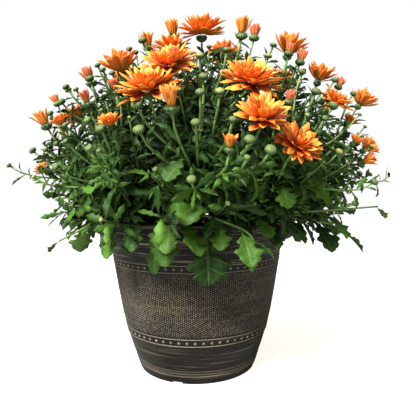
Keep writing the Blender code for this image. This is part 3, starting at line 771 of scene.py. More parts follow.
def potProfile():
    # down the outside, under the lip, over it and down the inside: radius, height
    rows = [(0.0, 0.0), (0.060, 0.0), (0.0694, 0.0), (0.0712, 0.0004), (0.0718, 0.0012), (0.0719, 0.0034),
            (0.0723, 0.0041), (0.0731, 0.0046), (0.0733, 0.0072), (0.0737, 0.0080)]
    heights = [0.0090 + 0.0020 * i for i in range(19)]
    for line in pot["lines"]:
        heights += [line + pot["lineHalf"] * k for k in (-1.4, -1.0, -0.7, -0.35, 0.0, 0.35, 0.7, 1.0, 1.4)]
    for ridge, tall in pot["ridges"]:
        heights += [ridge + 0.0009 * k for k in (-1.0, -0.6, 0.0, 0.6, 1.0)]
    heights += [0.0600 + 0.0080 * i for i in range(9)]
    heights += [0.1400, 0.1450, 0.1500, 0.1550, 0.1590]
    for height in sorted(heights):
        rows.append((wallRadius(height) + reliefAt(height), height))
    top = plant["lipTop"]
    rows += [(0.1090, 0.1595), (0.1140, 0.1590), (0.1168, 0.1581), (0.1176, 0.1582), (0.1180, 0.1587),
             (0.1186, 0.1640), (0.1191, 0.1690), (0.1195, 0.1730), (0.1198, 0.1762), (0.1200, 0.1775),
             (0.1199, 0.1783), (0.1195, 0.1788), (0.1188, top), (0.1120, top), (0.1104, 0.1788),
             (0.1098, 0.1780), (0.1092, 0.1740), (0.1084, 0.1660)]
    rows += [(innerRadius(height), height) for height in (pot["lipBottom"], 0.1400, 0.1200, 0.0850, 0.0500, 0.0100)]
    rows += [(innerRadius(pot["floor"]) - 0.002, pot["floor"]), (0.030, pot["floor"]), (0.0, pot["floor"])]
    return rows


def spinProfile(name, rows, segments):
    # the profile is drawn as a line of edges, then spun round the pot's axis
    mesh = bpy.data.meshes.new(name)
    mesh.from_pydata([(radius, 0, height) for radius, height in rows], [(i, i + 1) for i in range(len(rows) - 1)], [])
    thing = bpy.data.objects.new(name, mesh)
    bpy.context.scene.collection.objects.link(thing)
    pickOnly(thing)
    bpy.ops.object.mode_set(mode="EDIT")
    bpy.ops.mesh.select_all(action="SELECT")
    bpy.ops.mesh.spin(steps=segments, angle=2 * math.pi, center=(0, 0, 0), axis=(0, 0, 1))
    bpy.ops.mesh.select_all(action="SELECT")
    bpy.ops.mesh.remove_doubles(threshold=0.00001)
    bpy.ops.mesh.normals_make_consistent(inside=False)
    bpy.ops.object.mode_set(mode="OBJECT")
    return thing


def cutNotches(body):
    deep, wide, tall = pot["notch"]
    for i in range(pot["notches"]):
        turn = pot["notchTurn"] + 2 * math.pi * i / pot["notches"]
        deselectAll()
        bpy.ops.mesh.primitive_cube_add(size=1.0)
        cutter = bpy.context.object
        size = Matrix.Diagonal((deep, wide, tall, 1.0))
        place = Matrix.Translation((pot["footRadius"], 0, 0))
        cutter.data.transform(Matrix.Rotation(turn, 4, "Z") @ place @ size)
        pickOnly(body)
        cut = body.modifiers.new("notch", "BOOLEAN")
        cut.operation = "DIFFERENCE"
        cut.object = cutter
        bpy.ops.object.modifier_apply(modifier="notch")
        bpy.data.objects.remove(cutter)


def rubbedBronzeGroup():
    # dark bronze with lighter metal where it is rubbed: streaks run round the pot
    group = bpy.data.node_groups.new("rubbedBronze", "ShaderNodeTree")
    group.interface.new_socket("Rise", in_out="INPUT", socket_type="NodeSocketFloat")
    group.interface.new_socket("Streaks", in_out="INPUT", socket_type="NodeSocketFloat")
    group.interface.new_socket("Colour", in_out="OUTPUT", socket_type="NodeSocketColor")
    group.interface.new_socket("Height", in_out="OUTPUT", socket_type="NodeSocketFloat")
    into = addNode(group, "NodeGroupInput")
    out = addNode(group, "NodeGroupOutput")
    streak = noiseAt(group, 34, 6.0, (0.35, 0.35, 14.0), 0.66)
    patch = noiseAt(group, 13, 3.0, (1, 1, 1.6))
    speck = noiseAt(group, 420, 2.0)
    band = mathNode(group, "MULTIPLY", rangeOf(group, streak, 0.51, 0.68, 0.0, 0.90), into.outputs["Streaks"])
    worn = mathNode(group, "ADD", band, mathNode(group, "MULTIPLY", into.outputs["Rise"],
                                                 rangeOf(group, patch, 0.25, 0.75, 0.85, 1.0)), True)
    base = mixColour(group, rangeOf(group, patch, 0.35, 0.75), (0.006, 0.005, 0.004), (0.015, 0.013, 0.010))
    dusty = mixColour(group, rangeOf(group, speck, 0.50, 0.80, 0.0, 0.28), base, (0.080, 0.068, 0.052))
    gold = mixColour(group, rangeOf(group, patch, 0.45, 0.70), (0.330, 0.280, 0.210), (0.470, 0.370, 0.235))
    group.links.new(mixColour(group, worn, dusty, gold), out.inputs["Colour"])
    group.links.new(mathNode(group, "ADD", mathNode(group, "MULTIPLY", streak, into.outputs["Streaks"]),
                             mathNode(group, "MULTIPLY", speck, 0.25)), out.inputs["Height"])
    return group


def bronzeMaterial(name, group, rise, streaks, roughness):
    material, tree, shader = newMaterial(name, roughness, 0.20)
    finish = addNode(tree, "ShaderNodeGroup", node_tree=group)
    for socket, value in ((finish.inputs["Rise"], rise), (finish.inputs["Streaks"], streaks)):
        if value == "tone":
            tree.links.new(toneOf(tree)[0], socket)
        elif value == "height":
            place = addNode(tree, "ShaderNodeSeparateXYZ")
            tree.links.new(addNode(tree, "ShaderNodeTexCoord").outputs["Object"], place.inputs[0])
            upper = rangeOf(tree, place.outputs[2], 0.1360, 0.1400, 0.12, 1.0)
            foot = rangeOf(tree, place.outputs[2], 0.0480, 0.0440, 0.0, 0.20)
            tree.links.new(mathNode(tree, "ADD", upper, foot), socket)
        else:
            socket.default_value = value
    tree.links.new(finish.outputs["Colour"], shader.inputs["Base Color"])
    bumpFrom(tree, shader, finish.outputs["Height"], 0.35, 0.0010)
    shader.inputs["Metallic"].default_value = 0.10
    return material


def buildPot():
    group = rubbedBronzeGroup()
    body = spinProfile("potShell", potProfile(), pot["segments"])
    cutNotches(body)
    tone = body.data.attributes.new("tone", "FLOAT_COLOR", "POINT")
    for vertex in body.data.vertices:
        x, y, z = vertex.co
        outside = math.hypot(x, y) > wallRadius(min(z, 0.157)) - 0.0005
        rise = reliefAt(z) / pot["lineRise"] if outside and z < 0.157 else 0.0
        tone.data[vertex.index].color = ((0.75 if z > 0.04 else 0.40) * rise, 0, 0, 1)
    pickOnly(body)
    bpy.ops.object.shade_smooth_by_angle(angle=math.radians(40))
    body.data.materials.append(bronzeMaterial("rubbedBronzeWall", group, "tone", "height", 0.46))
    setUp(body, ["pot"])
    beads = buildBeads()
    beads.data.materials.append(bronzeMaterial("rubbedBronzeBeads", group, "tone", 0.22, 0.50))
    setUp(beads, ["pot"])
    rivets = buildRivets()
    rivets.data.materials.append(bronzeMaterial("rubbedBronzeRivets", group, "tone", 0.0, 0.38))
    setUp(rivets, ["pot"])
    print("pot built")


def beadTemplate():
    deselectAll()
    bpy.ops.mesh.primitive_circle_add(vertices=5, radius=1.0, fill_type="NGON")
    bead = bpy.context.object
    bpy.ops.object.mode_set(mode="EDIT")
    bpy.ops.mesh.select_all(action="SELECT")
    bpy.ops.mesh.extrude_region_move(TRANSFORM_OT_translate={"value": (0, 0, 0.72)})
    bpy.ops.transform.resize(value=(0.62, 0.62, 1.0))
    bpy.ops.object.mode_set(mode="OBJECT")
    points = np.array([tuple(v.co) for v in bead.data.vertices])
    faces = [tuple(p.vertices) for p in bead.data.polygons]
    bpy.data.objects.remove(bead)
    # the top face rises to a point
    top = [i for i, p in enumerate(points) if p[2] > 0.5]
    cap = next(face for face in faces if all(i in top for i in face))
    faces.remove(cap)
    points = np.vstack([points, [0, 0, 1.0]])
    faces += [(a, b, len(points) - 1) for a, b in zip(cap, cap[1:] + cap[:1])]
    if not any(all(i not in top and i < len(points) - 1 for i in face) for face in faces):
        low = [i for i, p in enumerate(points) if p[2] < 0.1]
        low.sort(key=lambda i: -math.atan2(points[i][1], points[i][0]))
        faces.append(tuple(low))
    return points, faces


def wallFrame(turn, height):
    # place on the wall, and the directions round it, up it and out of it
    slope = (wallRadius(height + 0.001) - wallRadius(height - 0.001)) / 0.002
    out = np.array([math.cos(turn), math.sin(turn), 0.0])
    around = np.array([-math.sin(turn), math.cos(turn), 0.0])
    up = out * slope + np.array([0, 0, 1.0])
    up /= np.linalg.norm(up)
    return out * wallRadius(height) + np.array([0, 0, height]), around, up, np.cross(around, up)


def buildBeads():
    points, faces = beadTemplate()
    rng = random.Random(5)
    pile = newPile()
    low, high = pot["beadZone"]
    columns = pot["beadColumns"]
    for column in range(columns):
        height = low + (0.5 * pot["beadPitch"] if column % 2 else 0.0) + 0.5 * pot["beadPitch"]
        while height < high:
            turn = 2 * math.pi * column / columns
            place, around, up, out = wallFrame(turn, height)
            wide = math.pi * wallRadius(height) / columns * 0.92
            rise = pot["beadRise"] * rng.uniform(0.85, 1.1)
            copy = (place + np.outer(points[:, 0] * wide, around) + np.outer(points[:, 1] * pot["beadPitch"] * 0.47, up)
                    + np.outer(points[:, 2] * rise - 0.0001, out))
            worn = np.clip((points[:, 2] - 0.55) * rng.uniform(0.7, 2.6), 0, 1)
            tone = np.stack([worn, worn * 0, worn * 0, worn * 0 + 1], 1)
            addTo(pile, copy, faces, points[:, :2], tone)
            height += pot["beadPitch"]
    print("beads:", len(pile["points"]))
    return bareObject("beadBelt", pile, False)


def bareObject(name, pile, smooth=True):
    mesh = bpy.data.meshes.new(name)
    mesh.from_pydata(np.concatenate(pile["points"]).tolist(), [], pile["faces"])
    tone = mesh.attributes.new("tone", "FLOAT_COLOR", "POINT")
    tone.data.foreach_set("color", np.concatenate(pile["tone"]).astype(np.float32).ravel())
    if smooth:
        mesh.shade_smooth()
    thing = bpy.data.objects.new(name, mesh)
    bpy.context.scene.collection.objects.link(thing)
    return thing


def rivetTemplate():
    # a low dome inside a raised ring, spun as one profile: radius, height
    rows = [(1.30, -0.10), (1.26, 0.16), (1.12, 0.26), (0.98, 0.18), (0.86, 0.10), (0.74, 0.34), (0.46, 0.52), (0.0, 0.60)]
    sides = 10
    points = []
    faces = []
    for radius, height in rows[:-1]:
        points += [(radius * math.cos(2 * math.pi * k / sides), radius * math.sin(2 * math.pi * k / sides), height)
                   for k in range(sides)]
    points.append((0, 0, rows[-1][1]))
    for i in range(len(rows) - 2):
        for k in range(sides):
            a = i * sides + k
            b = i * sides + (k + 1) % sides
            faces.append((a, b, b + sides, a + sides))
    last = (len(rows) - 2) * sides
    faces += [(last + k, last + (k + 1) % sides, len(points) - 1) for k in range(sides)]
    faces.append(tuple(reversed(range(sides))))
    return np.array(points), faces


def buildRivets():
    points, faces = rivetTemplate()
    rng = random.Random(8)
    pile = newPile()
    for height, count, size in pot["rivetRows"]:
        for k in range(count):
            turn = 2 * math.pi * (k + 0.5) / count
            place, around, up, out = wallFrame(turn, height)
            copy = (place + np.outer(points[:, 0] * size, around) + np.outer(points[:, 1] * size, up)
                    + np.outer(points[:, 2] * size, out))
            worn = np.clip((points[:, 2] - 0.12) * 3.2, 0, 1) * rng.uniform(0.7, 1.3)
            tone = np.stack([worn, worn * 0, worn * 0, worn * 0 + 1], 1)
            addTo(pile, copy, faces, points[:, :2], tone)
    return bareObject("rivets", pile)


# The compost

soil = {
    "rings": 46,
    "segments": 150,
    "mound": 0.005,
    "rough": 0.0022,
    "crumbs": 260,
    "crumbSize": (0.0014, 0.0040),
}


def buildSoil():
    deselectAll()
    edge = innerRadius(plant["soilTop"]) - plant["gap"]
    rows = [(0.0, 0.0045), (innerRadius(0.0045) - 0.001, 0.0045), (innerRadius(0.085) - 0.0006, 0.0850)]
    for i in range(soil["rings"]):
        share = 1 - i / (soil["rings"] - 1)
        rows.append((edge * share, plant["soilTop"] + soil["mound"] * (1 - share) * 0.6 - 0.0012))
    bed = spinProfile("compost", rows, soil["segments"])
    texture = bpy.data.textures.new("soilLumps", "CLOUDS")
    texture.noise_scale = 0.006
    texture.noise_depth = 3
    lumps = bed.vertex_groups.new(name="top")
    lumps.add([v.index for v in bed.data.vertices if v.co.z > 0.15 and math.hypot(v.co.x, v.co.y) < edge - 0.002],
              1.0, "ADD")
    pickOnly(bed)
    rough = bed.modifiers.new("lumps", "DISPLACE")
    rough.texture = texture
    rough.direction = "Z"
    rough.strength = soil["rough"] * 2
    rough.mid_level = 0.5
    rough.vertex_group = "top"
    bpy.ops.object.modifier_apply(modifier="lumps")
    bed.data.shade_smooth()
    bed.data.materials.append(soilMaterial())
    setUp(bed, ["soil"])
    crumbs = buildCrumbs(edge)
    crumbs.data.materials.append(bed.data.materials[0])
    setUp(crumbs, ["soil"])
    print("compost built")


def buildCrumbs(edge):
    deselectAll()
    bpy.ops.mesh.primitive_ico_sphere_add(subdivisions=1, radius=0.5)
    crumb = bpy.context.object
    points = np.array([tuple(v.co) for v in crumb.data.vertices])
    faces = [tuple(p.vertices) for p in crumb.data.polygons]
    bpy.data.objects.remove(crumb)
    rng = random.Random(31)
    pile = newPile()
    for _ in range(soil["crumbs"]):
        radius = edge * math.sqrt(rng.uniform(0.02, 0.94))
        place = np.array(around(rng.uniform(0, 360), radius, plant["soilTop"] + 0.6 * soil["mound"] * (1 - radius / edge)))
        size = rng.uniform(*soil["crumbSize"])
        shape = points * size * np.array([rng.uniform(0.7, 1.5), rng.uniform(0.7, 1.2), rng.uniform(0.4, 0.8)])
        turned = shape @ np.array(Matrix.Rotation(rng.uniform(0, 6.28), 3, "Z")).T
        tone = rng.uniform(0, 1)
        addTo(pile, turned + place, faces, points[:, :2], [(tone, 0, 0, 1)] * len(points))
    return bareObject("compostCrumbs", pile, False)


def soilMaterial():
    material, tree, shader = newMaterial("darkCompost", 0.95, 0.15)
    clump = noiseAt(tree, 90, 6.0)
    fine = noiseAt(tree, 900, 3.0)
    colour = mixColour(tree, rangeOf(tree, clump, 0.35, 0.70), (0.008, 0.006, 0.004), (0.050, 0.032, 0.020))
    colour = mixColour(tree, rangeOf(tree, fine, 0.62, 0.75), colour, (0.120, 0.090, 0.060))
    tree.links.new(colour, shader.inputs["Base Color"])
    bumpFrom(tree, shader, mathNode(tree, "ADD", clump, mathNode(tree, "MULTIPLY", fine, 0.3)), 0.8, 0.002)
    return material


# The blooms

bloom = {
    # petals in a row, length and width as shares of the bloom's radius, degrees above the face,
    # curl in radians, and how far out and how high on the core the row is rooted
    "open": [(17, 0.86, 0.26, -9, 0.14, 0.16, 0.10), (16, 0.83, 0.25, 6, 0.18, 0.15, 0.13),
             (15, 0.76, 0.23, 21, 0.20, 0.13, 0.16), (14, 0.64, 0.20, 36, 0.22, 0.11, 0.19),
             (13, 0.50, 0.16, 50, 0.30, 0.08, 0.21), (10, 0.38, 0.13, 64, 0.34, 0.05, 0.23),
             (7, 0.27, 0.10, 78, 0.36, 0.03, 0.24)],
    "half": [(14, 0.86, 0.28, 2, 0.16, 0.16, 0.10), (13, 0.85, 0.26, 20, 0.14, 0.15, 0.13),
             (12, 0.77, 0.23, 36, 0.16, 0.13, 0.16), (11, 0.63, 0.19, 50, 0.24, 0.09, 0.19),
             (9, 0.46, 0.15, 64, 0.30, 0.06, 0.22), (7, 0.32, 0.11, 78, 0.34, 0.03, 0.24)],
    "cup": [(11, 0.97, 0.33, 30, 0.20, 0.17, 0.08), (10, 0.96, 0.31, 44, 0.14, 0.15, 0.12),
            (9, 0.88, 0.27, 58, 0.06, 0.12, 0.16), (7, 0.74, 0.22, 73, 0.0, 0.07, 0.20)],
    "brush": [(9, 1.66, 0.50, 70, 0.06, 0.30, 0.06), (8, 1.54, 0.44, 78, 0.02, 0.22, 0.12),
              (6, 1.40, 0.38, 86, -0.05, 0.12, 0.18)],
    "eye": 26,
}


def petalMaterial():
    # tone: a number for each petal, 1 on its underside, and how young its bloom is
    material, tree, shader = newMaterial("orangePetal", 0.48, 0.30)
    vary, back, young = toneOf(tree)
    across, along = growthOf(tree)
    # painted shade, in part: the face darkens to deep red towards each petal's base, where the petals overlap, over the
    # bloom's own orange; the gold towards the tip is its own colour
    face = mixColour(tree, rangeOf(tree, along, 0.08, 0.60), (0.400, 0.018, 0.003), (0.790, 0.118, 0.010))
    face = mixColour(tree, rangeOf(tree, along, 0.45, 1.0), face, (0.900, 0.300, 0.035))
    gold = mixColour(tree, rangeOf(tree, along, 0.0, 0.8), (0.720, 0.140, 0.010), (0.980, 0.500, 0.070))
    face = mixColour(tree, rangeOf(tree, vary, 0.32, 0.95), face, gold)
    under = mixColour(tree, rangeOf(tree, along, 0.0, 0.9), (0.660, 0.280, 0.036), (0.760, 0.210, 0.024))
    under = mixColour(tree, rangeOf(tree, vary, 0.40, 0.90), under, (0.720, 0.120, 0.014))
    colour = mixColour(tree, back, face, under)
    # fine veins run along the petal
    wave = addNode(tree, "ShaderNodeMath", operation="SINE")
    tree.links.new(mathNode(tree, "MULTIPLY", across, 44.0), wave.inputs[0])
    vein = rangeOf(tree, wave.outputs[0], 0.2, 1.0, 0.0, 0.42)
    colour = mixColour(tree, vein, colour, (0.520, 0.050, 0.006))
    blotch = rangeOf(tree, noiseAt(tree, 140, 3.0), 0.45, 0.75, 0.0, 0.35)
    colour = mixColour(tree, blotch, colour, (0.950, 0.400, 0.060))
    salmon = mixColour(tree, rangeOf(tree, along, 0.1, 0.9), (0.760, 0.260, 0.110), (0.700, 0.085, 0.055))
    colour = mixColour(tree, rangeOf(tree, young, 0.2, 0.9, 0.0, 0.70), colour, salmon)
    tree.links.new(colour, shader.inputs["Base Color"])
    bumpFrom(tree, shader, wave.outputs[0], 0.25, 0.0002)
    return material


def eyeMaterial():
    material, tree, shader = newMaterial("yellowEye", 0.55, 0.25)
    vary, back, young = toneOf(tree)
    colour = mixColour(tree, vary, (0.900, 0.300, 0.020), (0.930, 0.560, 0.060))
    tree.links.new(colour, shader.inputs["Base Color"])
    bumpFrom(tree, shader, noiseAt(tree, 1200, 2.0), 0.4, 0.0004)
    return material


def growBloom(number, flower, template, rng, petals, eyes):
    radius = flower["radius"]
    axis = flower["axis"]
    base = flower["base"]
    young = rng.uniform(0.55, 1.0) if flower["kind"] == "brush" and rng.random() < 0.35 else rng.uniform(0.0, 0.15)
    pile = newPile()
    startTurn = 0.0
    for row, (count, length, width, rise, curl, out, high) in enumerate(bloom[flower["kind"]]):
        for i in range(count):
            turn = startTurn + 2 * math.pi * (i + 0.5 * (row % 2) + rng.uniform(-0.16, 0.16)) / count
            spoke = sideOf(axis, turn)
            tilt = math.radians(rise + rng.uniform(-11, 11))
            ahead = spoke * math.cos(tilt) + axis * math.sin(tilt)
            up = axis * math.cos(tilt) - spoke * math.sin(tilt)
            root = base + axis * (radius * high) + spoke * (radius * out)
            shape = petalCopy(template, root, ahead, up, radius * length * rng.uniform(0.92, 1.16),
                              radius * width * rng.uniform(0.85, 1.15), curl + rng.uniform(-0.24, 0.26),
                              rng.uniform(0.25, 0.60), rng.uniform(-0.35, 0.35))
            vary = rng.uniform(0, 1) * 0.75 + 0.25 * row / 5
            tone = np.stack([np.full(len(shape), vary), template["back"], np.full(len(shape), young),
                             np.ones(len(shape))], 1)
            addTo(pile, shape, template["faces"], template["map"], tone)
    piece = pileObject(f"petals_{number:02d}", pile, petals)
    setUp(piece, [f"bloom_{number:02d}"])
    if flower["kind"] in ("open", "half"):
        growEye(number, flower, rng, eyes)


def growEye(number, flower, rng, material):
    # short yellow quills packed in the middle
    pile = newPile()
    radius = flower["radius"]
    for i in range(bloom["eye"]):
        share = math.sqrt((i + 0.5) / bloom["eye"])
        spoke = sideOf(flower["axis"], i * plant["goldenTurn"])
        foot = flower["base"] + flower["axis"] * (radius * 0.18) + spoke * (radius * 0.10 * share)
        ahead = (flower["axis"] + spoke * (0.45 * share)).normalized()
        tall = radius * rng.uniform(0.20, 0.28) * (1.1 - 0.3 * share)
        thick = radius * 0.026
        points, faces, mapped = tubeMesh([foot, foot + ahead * tall * 0.7, foot + ahead * tall],
                                         [thick * 0.8, thick * 1.25, thick * 0.5], 5)
        vary = rng.uniform(0, 1)
        addTo(pile, points, faces, mapped, [(vary, 0, 0, 1)] * len(points))
    piece = pileObject(f"eye_{number:02d}", pile, material)
    setUp(piece, [f"bloom_{number:02d}"])


# Stems, stalks, leaves and buds

greens = {
    "stemThick": 0.0026,
    "stemThin": 0.0017,
    "stalkThick": 0.00165,
    "stalkThin": 0.00110,
    "bractCount": 9,
    "extraSeed": 23,
    "innerLeaves": 6,
    "outerLeaves": 9,
    "stalkLeafStep": 0.0056,
    "upperFrom": 0.215,
    "upperShade": 0.85,
    "upperSize": 0.80,
    "roll": 1.0,
    # degrees from upright, reach, first azimuth and number of the twigs in a ring
    "twigs": [(7, 0.284, 0, 6), (16, 0.284, 20, 13), (25, 0.280, 5, 20), (34, 0.272, 12, 26), (43, 0.258, 3, 29),
              (52, 0.236, 0, 26), (60, 0.204, 7, 24), (67, 0.172, 3, 20)],
    "extraBuds": 118,
    "budSpace": 0.0115,
    "budScale": 0.95,
}


def leafMaterial():
    # tone: how light the leaf is, its own random tone with painted shade for leaves deep inside and high in the plant,
    # 1 on its underside, and how yellow it is
    material, tree, shader = newMaterial("cutLeaf", 0.50, 0.20)
    light, back, yellow = toneOf(tree)
    across, along = growthOf(tree)
    # painted shade: low tones run down to a near-black green for the shaded inside of the plant
    dark = mixColour(tree, rangeOf(tree, light, 0.0, 0.5), (0.001, 0.004, 0.001), (0.011, 0.036, 0.004))
    colour = mixColour(tree, rangeOf(tree, light, 0.4, 1.0), dark, (0.098, 0.225, 0.022))
    colour = mixColour(tree, rangeOf(tree, noiseAt(tree, 90, 4.0), 0.35, 0.70, 0.0, 0.65), colour, (0.028, 0.078, 0.008))
    colour = mixColour(tree, mathNode(tree, "MULTIPLY", back, 0.40), colour, (0.090, 0.165, 0.045))
    # midrib and side veins
    middle = mathNode(tree, "ABSOLUTE", mathNode(tree, "SUBTRACT", across, 0.5))
    rib = rangeOf(tree, middle, 0.050, 0.015)
    comb = mathNode(tree, "ABSOLUTE", mathNode(tree, "SUBTRACT", mathNode(tree, "FRACT", mathNode(
        tree, "SUBTRACT", mathNode(tree, "MULTIPLY", along, 6.2), mathNode(tree, "MULTIPLY", middle, 1.2))), 0.5))
    side = rangeOf(tree, comb, 0.10, 0.03, 0.0, 0.6)
    vein = mathNode(tree, "MAXIMUM", rib, side)
    colour = mixColour(tree, mathNode(tree, "MULTIPLY", vein, 0.32), colour, (0.150, 0.290, 0.060))
    tree.links.new(colour, shader.inputs["Base Color"])
    bumpFrom(tree, shader, mathNode(tree, "SUBTRACT", rangeOf(tree, noiseAt(tree, 500, 2.0), 0.2, 0.8, 0.0, 0.4), vein),
             0.5, 0.0006)
    return material


def stalkMaterial():
    # tone: how light the stalk is; main stems and twigs deep inside the plant get low values as painted shade
    material, tree, shader = newMaterial("greenStalk", 0.50, 0.35)
    light, back, yellow = toneOf(tree)
    colour = mixColour(tree, light, (0.010, 0.032, 0.006), (0.190, 0.330, 0.080))
    around, along = growthOf(tree)
    ridge = addNode(tree, "ShaderNodeMath", operation="SINE")
    tree.links.new(mathNode(tree, "MULTIPLY", around, 37.7), ridge.inputs[0])
    colour = mixColour(tree, rangeOf(tree, ridge.outputs[0], 0.2, 1.0, 0.0, 0.35), colour, (0.050, 0.120, 0.030))
    colour = mixColour(tree, rangeOf(tree, noiseAt(tree, 110, 3.0), 0.45, 0.75, 0.0, 0.45), colour, (0.090, 0.170, 0.050))
    tree.links.new(colour, shader.inputs["Base Color"])
    bumpFrom(tree, shader, ridge.outputs[0], 0.3, 0.0002)
    return material


def budMaterial():
    # tone: how light the bud is, how much colour shows at its top, and how pink that is
    material, tree, shader = newMaterial("stripedBud", 0.52, 0.30)
    light, open, pink = toneOf(tree)
    around, height = growthOf(tree)
    skin = mixColour(tree, light, (0.014, 0.040, 0.008), (0.050, 0.112, 0.022))
    wave = addNode(tree, "ShaderNodeMath", operation="SINE")
    tree.links.new(mathNode(tree, "MULTIPLY", around, 2 * math.pi * 14), wave.inputs[0])
    stripe = mathNode(tree, "MULTIPLY", rangeOf(tree, wave.outputs[0], 0.0, 0.9), rangeOf(tree, height, 0.10, 0.45))
    skin = mixColour(tree, mathNode(tree, "MULTIPLY", stripe, 0.55), skin, (0.230, 0.350, 0.110))
    tip = mixColour(tree, pink, (0.330, 0.420, 0.110), (0.640, 0.130, 0.080))
    shown = mathNode(tree, "MULTIPLY", rangeOf(tree, height, 0.60, 0.86), open)
    tree.links.new(mixColour(tree, shown, skin, tip), shader.inputs["Base Color"])
    bumpFrom(tree, shader, stripe, 0.35, 0.0004)
    return material


def plainTone(count, light, second=0.0, third=0.0):
    return np.tile([light, second, third, 1.0], (count, 1))


def addStalk(pile, path, thick, thin, light, steps=7, sides=5):
    points, faces, mapped = tubeMesh(curve(path, steps), [thick + (thin - thick) * i / steps for i in range(steps + 1)], sides)
    addTo(pile, points, faces, mapped, plainTone(len(points), light))


def addBract(pile, template, root, ahead, up, length, width, light, curl=0.5):
    shape = petalCopy(template, root, ahead, up, length, width, curl, 0.5)
    tone = np.stack([np.full(len(shape), light), template["back"], np.zeros(len(shape)), np.ones(len(shape))], 1)
    addTo(pile, shape, template["faces"], template["map"], tone)


def addCalyx(stalks, leaves, template, stalk, rng):
    # a green cup under a bloom, ringed by small pointed bracts
    flower = stalk["bloom"]
    axis = flower["axis"]
    radius = flower["radius"]
    wide = max(stalk["cup"], radius * (0.72 if flower["kind"] == "brush" else 0.22))
    wide = min(wide, 0.0062)
    top = flower["base"] + axis * (radius * 0.05)
    low = top - axis * (stalk["height"] + 0.0012)
    path = [low, low + axis * 0.0010, low + axis * 0.0024, top]
    points, faces, mapped = tubeMesh(path, [greens["stalkThin"], wide * 0.62, wide * 0.95, wide * 0.86], 10)
    addTo(stalks, points, faces, mapped, plainTone(len(points), 0.25))
    for row, (rise, share) in enumerate(((0.55, 1.0), (0.95, 0.8))):
        for k in range(greens["bractCount"]):
            spoke = sideOf(axis, 2 * math.pi * (k + 0.5 * row) / greens["bractCount"] + rng.uniform(-0.1, 0.1))
            ahead = spoke * math.cos(rise) + axis * math.sin(rise)
            up = axis * math.cos(rise) - spoke * math.sin(rise)
            root = low + axis * (0.0010 + 0.0008 * row) + spoke * (wide * 0.55)
            addBract(leaves, template, root, ahead, up, max(0.0042, wide * 1.15) * share, wide * 0.62, 0.35, 0.7)


def addBud(piles, templates, foot, facing, size, rng):
    globe = templates["bud"]
    size *= greens["budScale"]
    frameOf = Matrix((sideOf(facing, 0), facing.cross(sideOf(facing, 0)), facing)).transposed()
    points = globe["points"] * size @ np.array(frameOf).T + np.array(foot)
    light = rng.uniform(0.0, 0.8)
    ripe = rng.random()
    opened = 0.2 if ripe < 0.75 else rng.uniform(0.5, 1.0)
    pink = rng.uniform(0.0, 0.25)
    addTo(piles["buds"], points, globe["faces"], globe["map"], plainTone(len(points), light, opened, pink))
    for k in range(7):
        spoke = sideOf(facing, 2 * math.pi * k / 7 + rng.uniform(-0.12, 0.12))
        rise = rng.uniform(0.35, 0.75)
        ahead = spoke * math.cos(rise) + facing * math.sin(rise)
        up = facing * math.cos(rise) - spoke * math.sin(rise)
        root = Vector(foot) + facing * (size * 0.12) + spoke * (size * 0.45)
        addBract(piles["leaves"], templates["bract"], root, ahead, up, size * rng.uniform(0.80, 1.0),
                 size * 0.55, rng.uniform(0.2, 0.5), 1.0)


def leafToneAndShadeOf(leaf, rng):
    # painted shade: leaves deep inside the plant, and those high in it, are made darker where shade falls; a random
    # part varies each leaf's own tone
    middle = leafSpine(leaf, 0.5)[0]
    depth = (middle - Vector((0.006, 0, 0.150))).length
    light = min(1.0, max(0.0, (depth - 0.080) / 0.110)) * 0.70 + rng.uniform(-0.30, 0.40)
    # painted shade: leaves above upperFrom are darkened further
    light *= 1 - greens["upperShade"] * min(1.0, max(0.0, (middle.z - greens["upperFrom"]) / 0.050))
    if leaf.get("low"):
        light = rng.uniform(0.35, 0.90)
    return min(1.0, max(0.0, light))


def addLeaf(pile, template, leaf, rng):
    leaf.setdefault("phase", rng.uniform(0, 6))
    shape = leafCopy(template, leaf)
    light = leafToneAndShadeOf(leaf, rng)
    tone = np.stack([np.full(len(shape), light), template["back"], np.zeros(len(shape)), np.ones(len(shape))], 1)
    addTo(pile, shape, template["faces"], template["map"], tone)


def inBox(points):
    low, high = cadBox
    return all(low[k] < p[k] < high[k] for p in points for k in range(3))


def extraLeaves(stem, rng, tests):
    # more leaves along the stem and its stalks, which thicken the plant
    found = []
    turn = rng.uniform(0, 6.28)
    places = []
    for i in range(greens["innerLeaves"]):
        places.append((stem["main"], 0.30 + 0.50 * i / greens["innerLeaves"], rng.uniform(0.032, 0.050), "smallLeaf"))
    for i in range(greens["outerLeaves"]):
        places.append((stem["main"], 0.55 + 0.44 * i / greens["outerLeaves"], rng.uniform(0.026, 0.042), "midLeaf"))
    for stalk in stem["stalks"]:
        long = (stalk["path"][-1] - stalk["path"][0]).length
        count = max(3, round(long / greens["stalkLeafStep"]))
        for i in range(count):
            share = 0.04 + 0.90 * (i + rng.uniform(0, 1)) / count
            length = (0.036 - (0.012 if "twig" in stalk else 0.022) * share) * rng.uniform(0.75, 1.25)
            places.append((stalk["path"], share, length, "smallLeaf" if share > 0.25 or rng.random() < 0.5 else "midLeaf"))
    for path, share, length, kind in places:
        root = onCurve(path, share)
        along = (onCurve(path, share + 0.02) - root).normalized()
        turn += plant["goldenTurn"]
        if root.z > greens["upperFrom"]:
            length *= greens["upperSize"]
            pick = rng.random()
            kind = "plainLeaf" if pick < 0.74 else "smallLeaf" if pick < 0.96 else kind
        leaf = tryLeaf(root, along, turn, length, rng, tests)
        if leaf:
            leaf["fold"] = rng.uniform(0.10, 0.60)
            leaf["arch"] = rng.uniform(-0.2, 1.3)
            roll = Matrix.Rotation(rng.uniform(-greens["roll"], greens["roll"]), 3, leaf["ahead"])
            leaf["up"] = roll @ leaf["up"]
            leaf["width"] *= rng.uniform(0.65, 1.0) * (1.0 if kind == "midLeaf" else 1.25)
            found.append((leaf, kind))
    return found


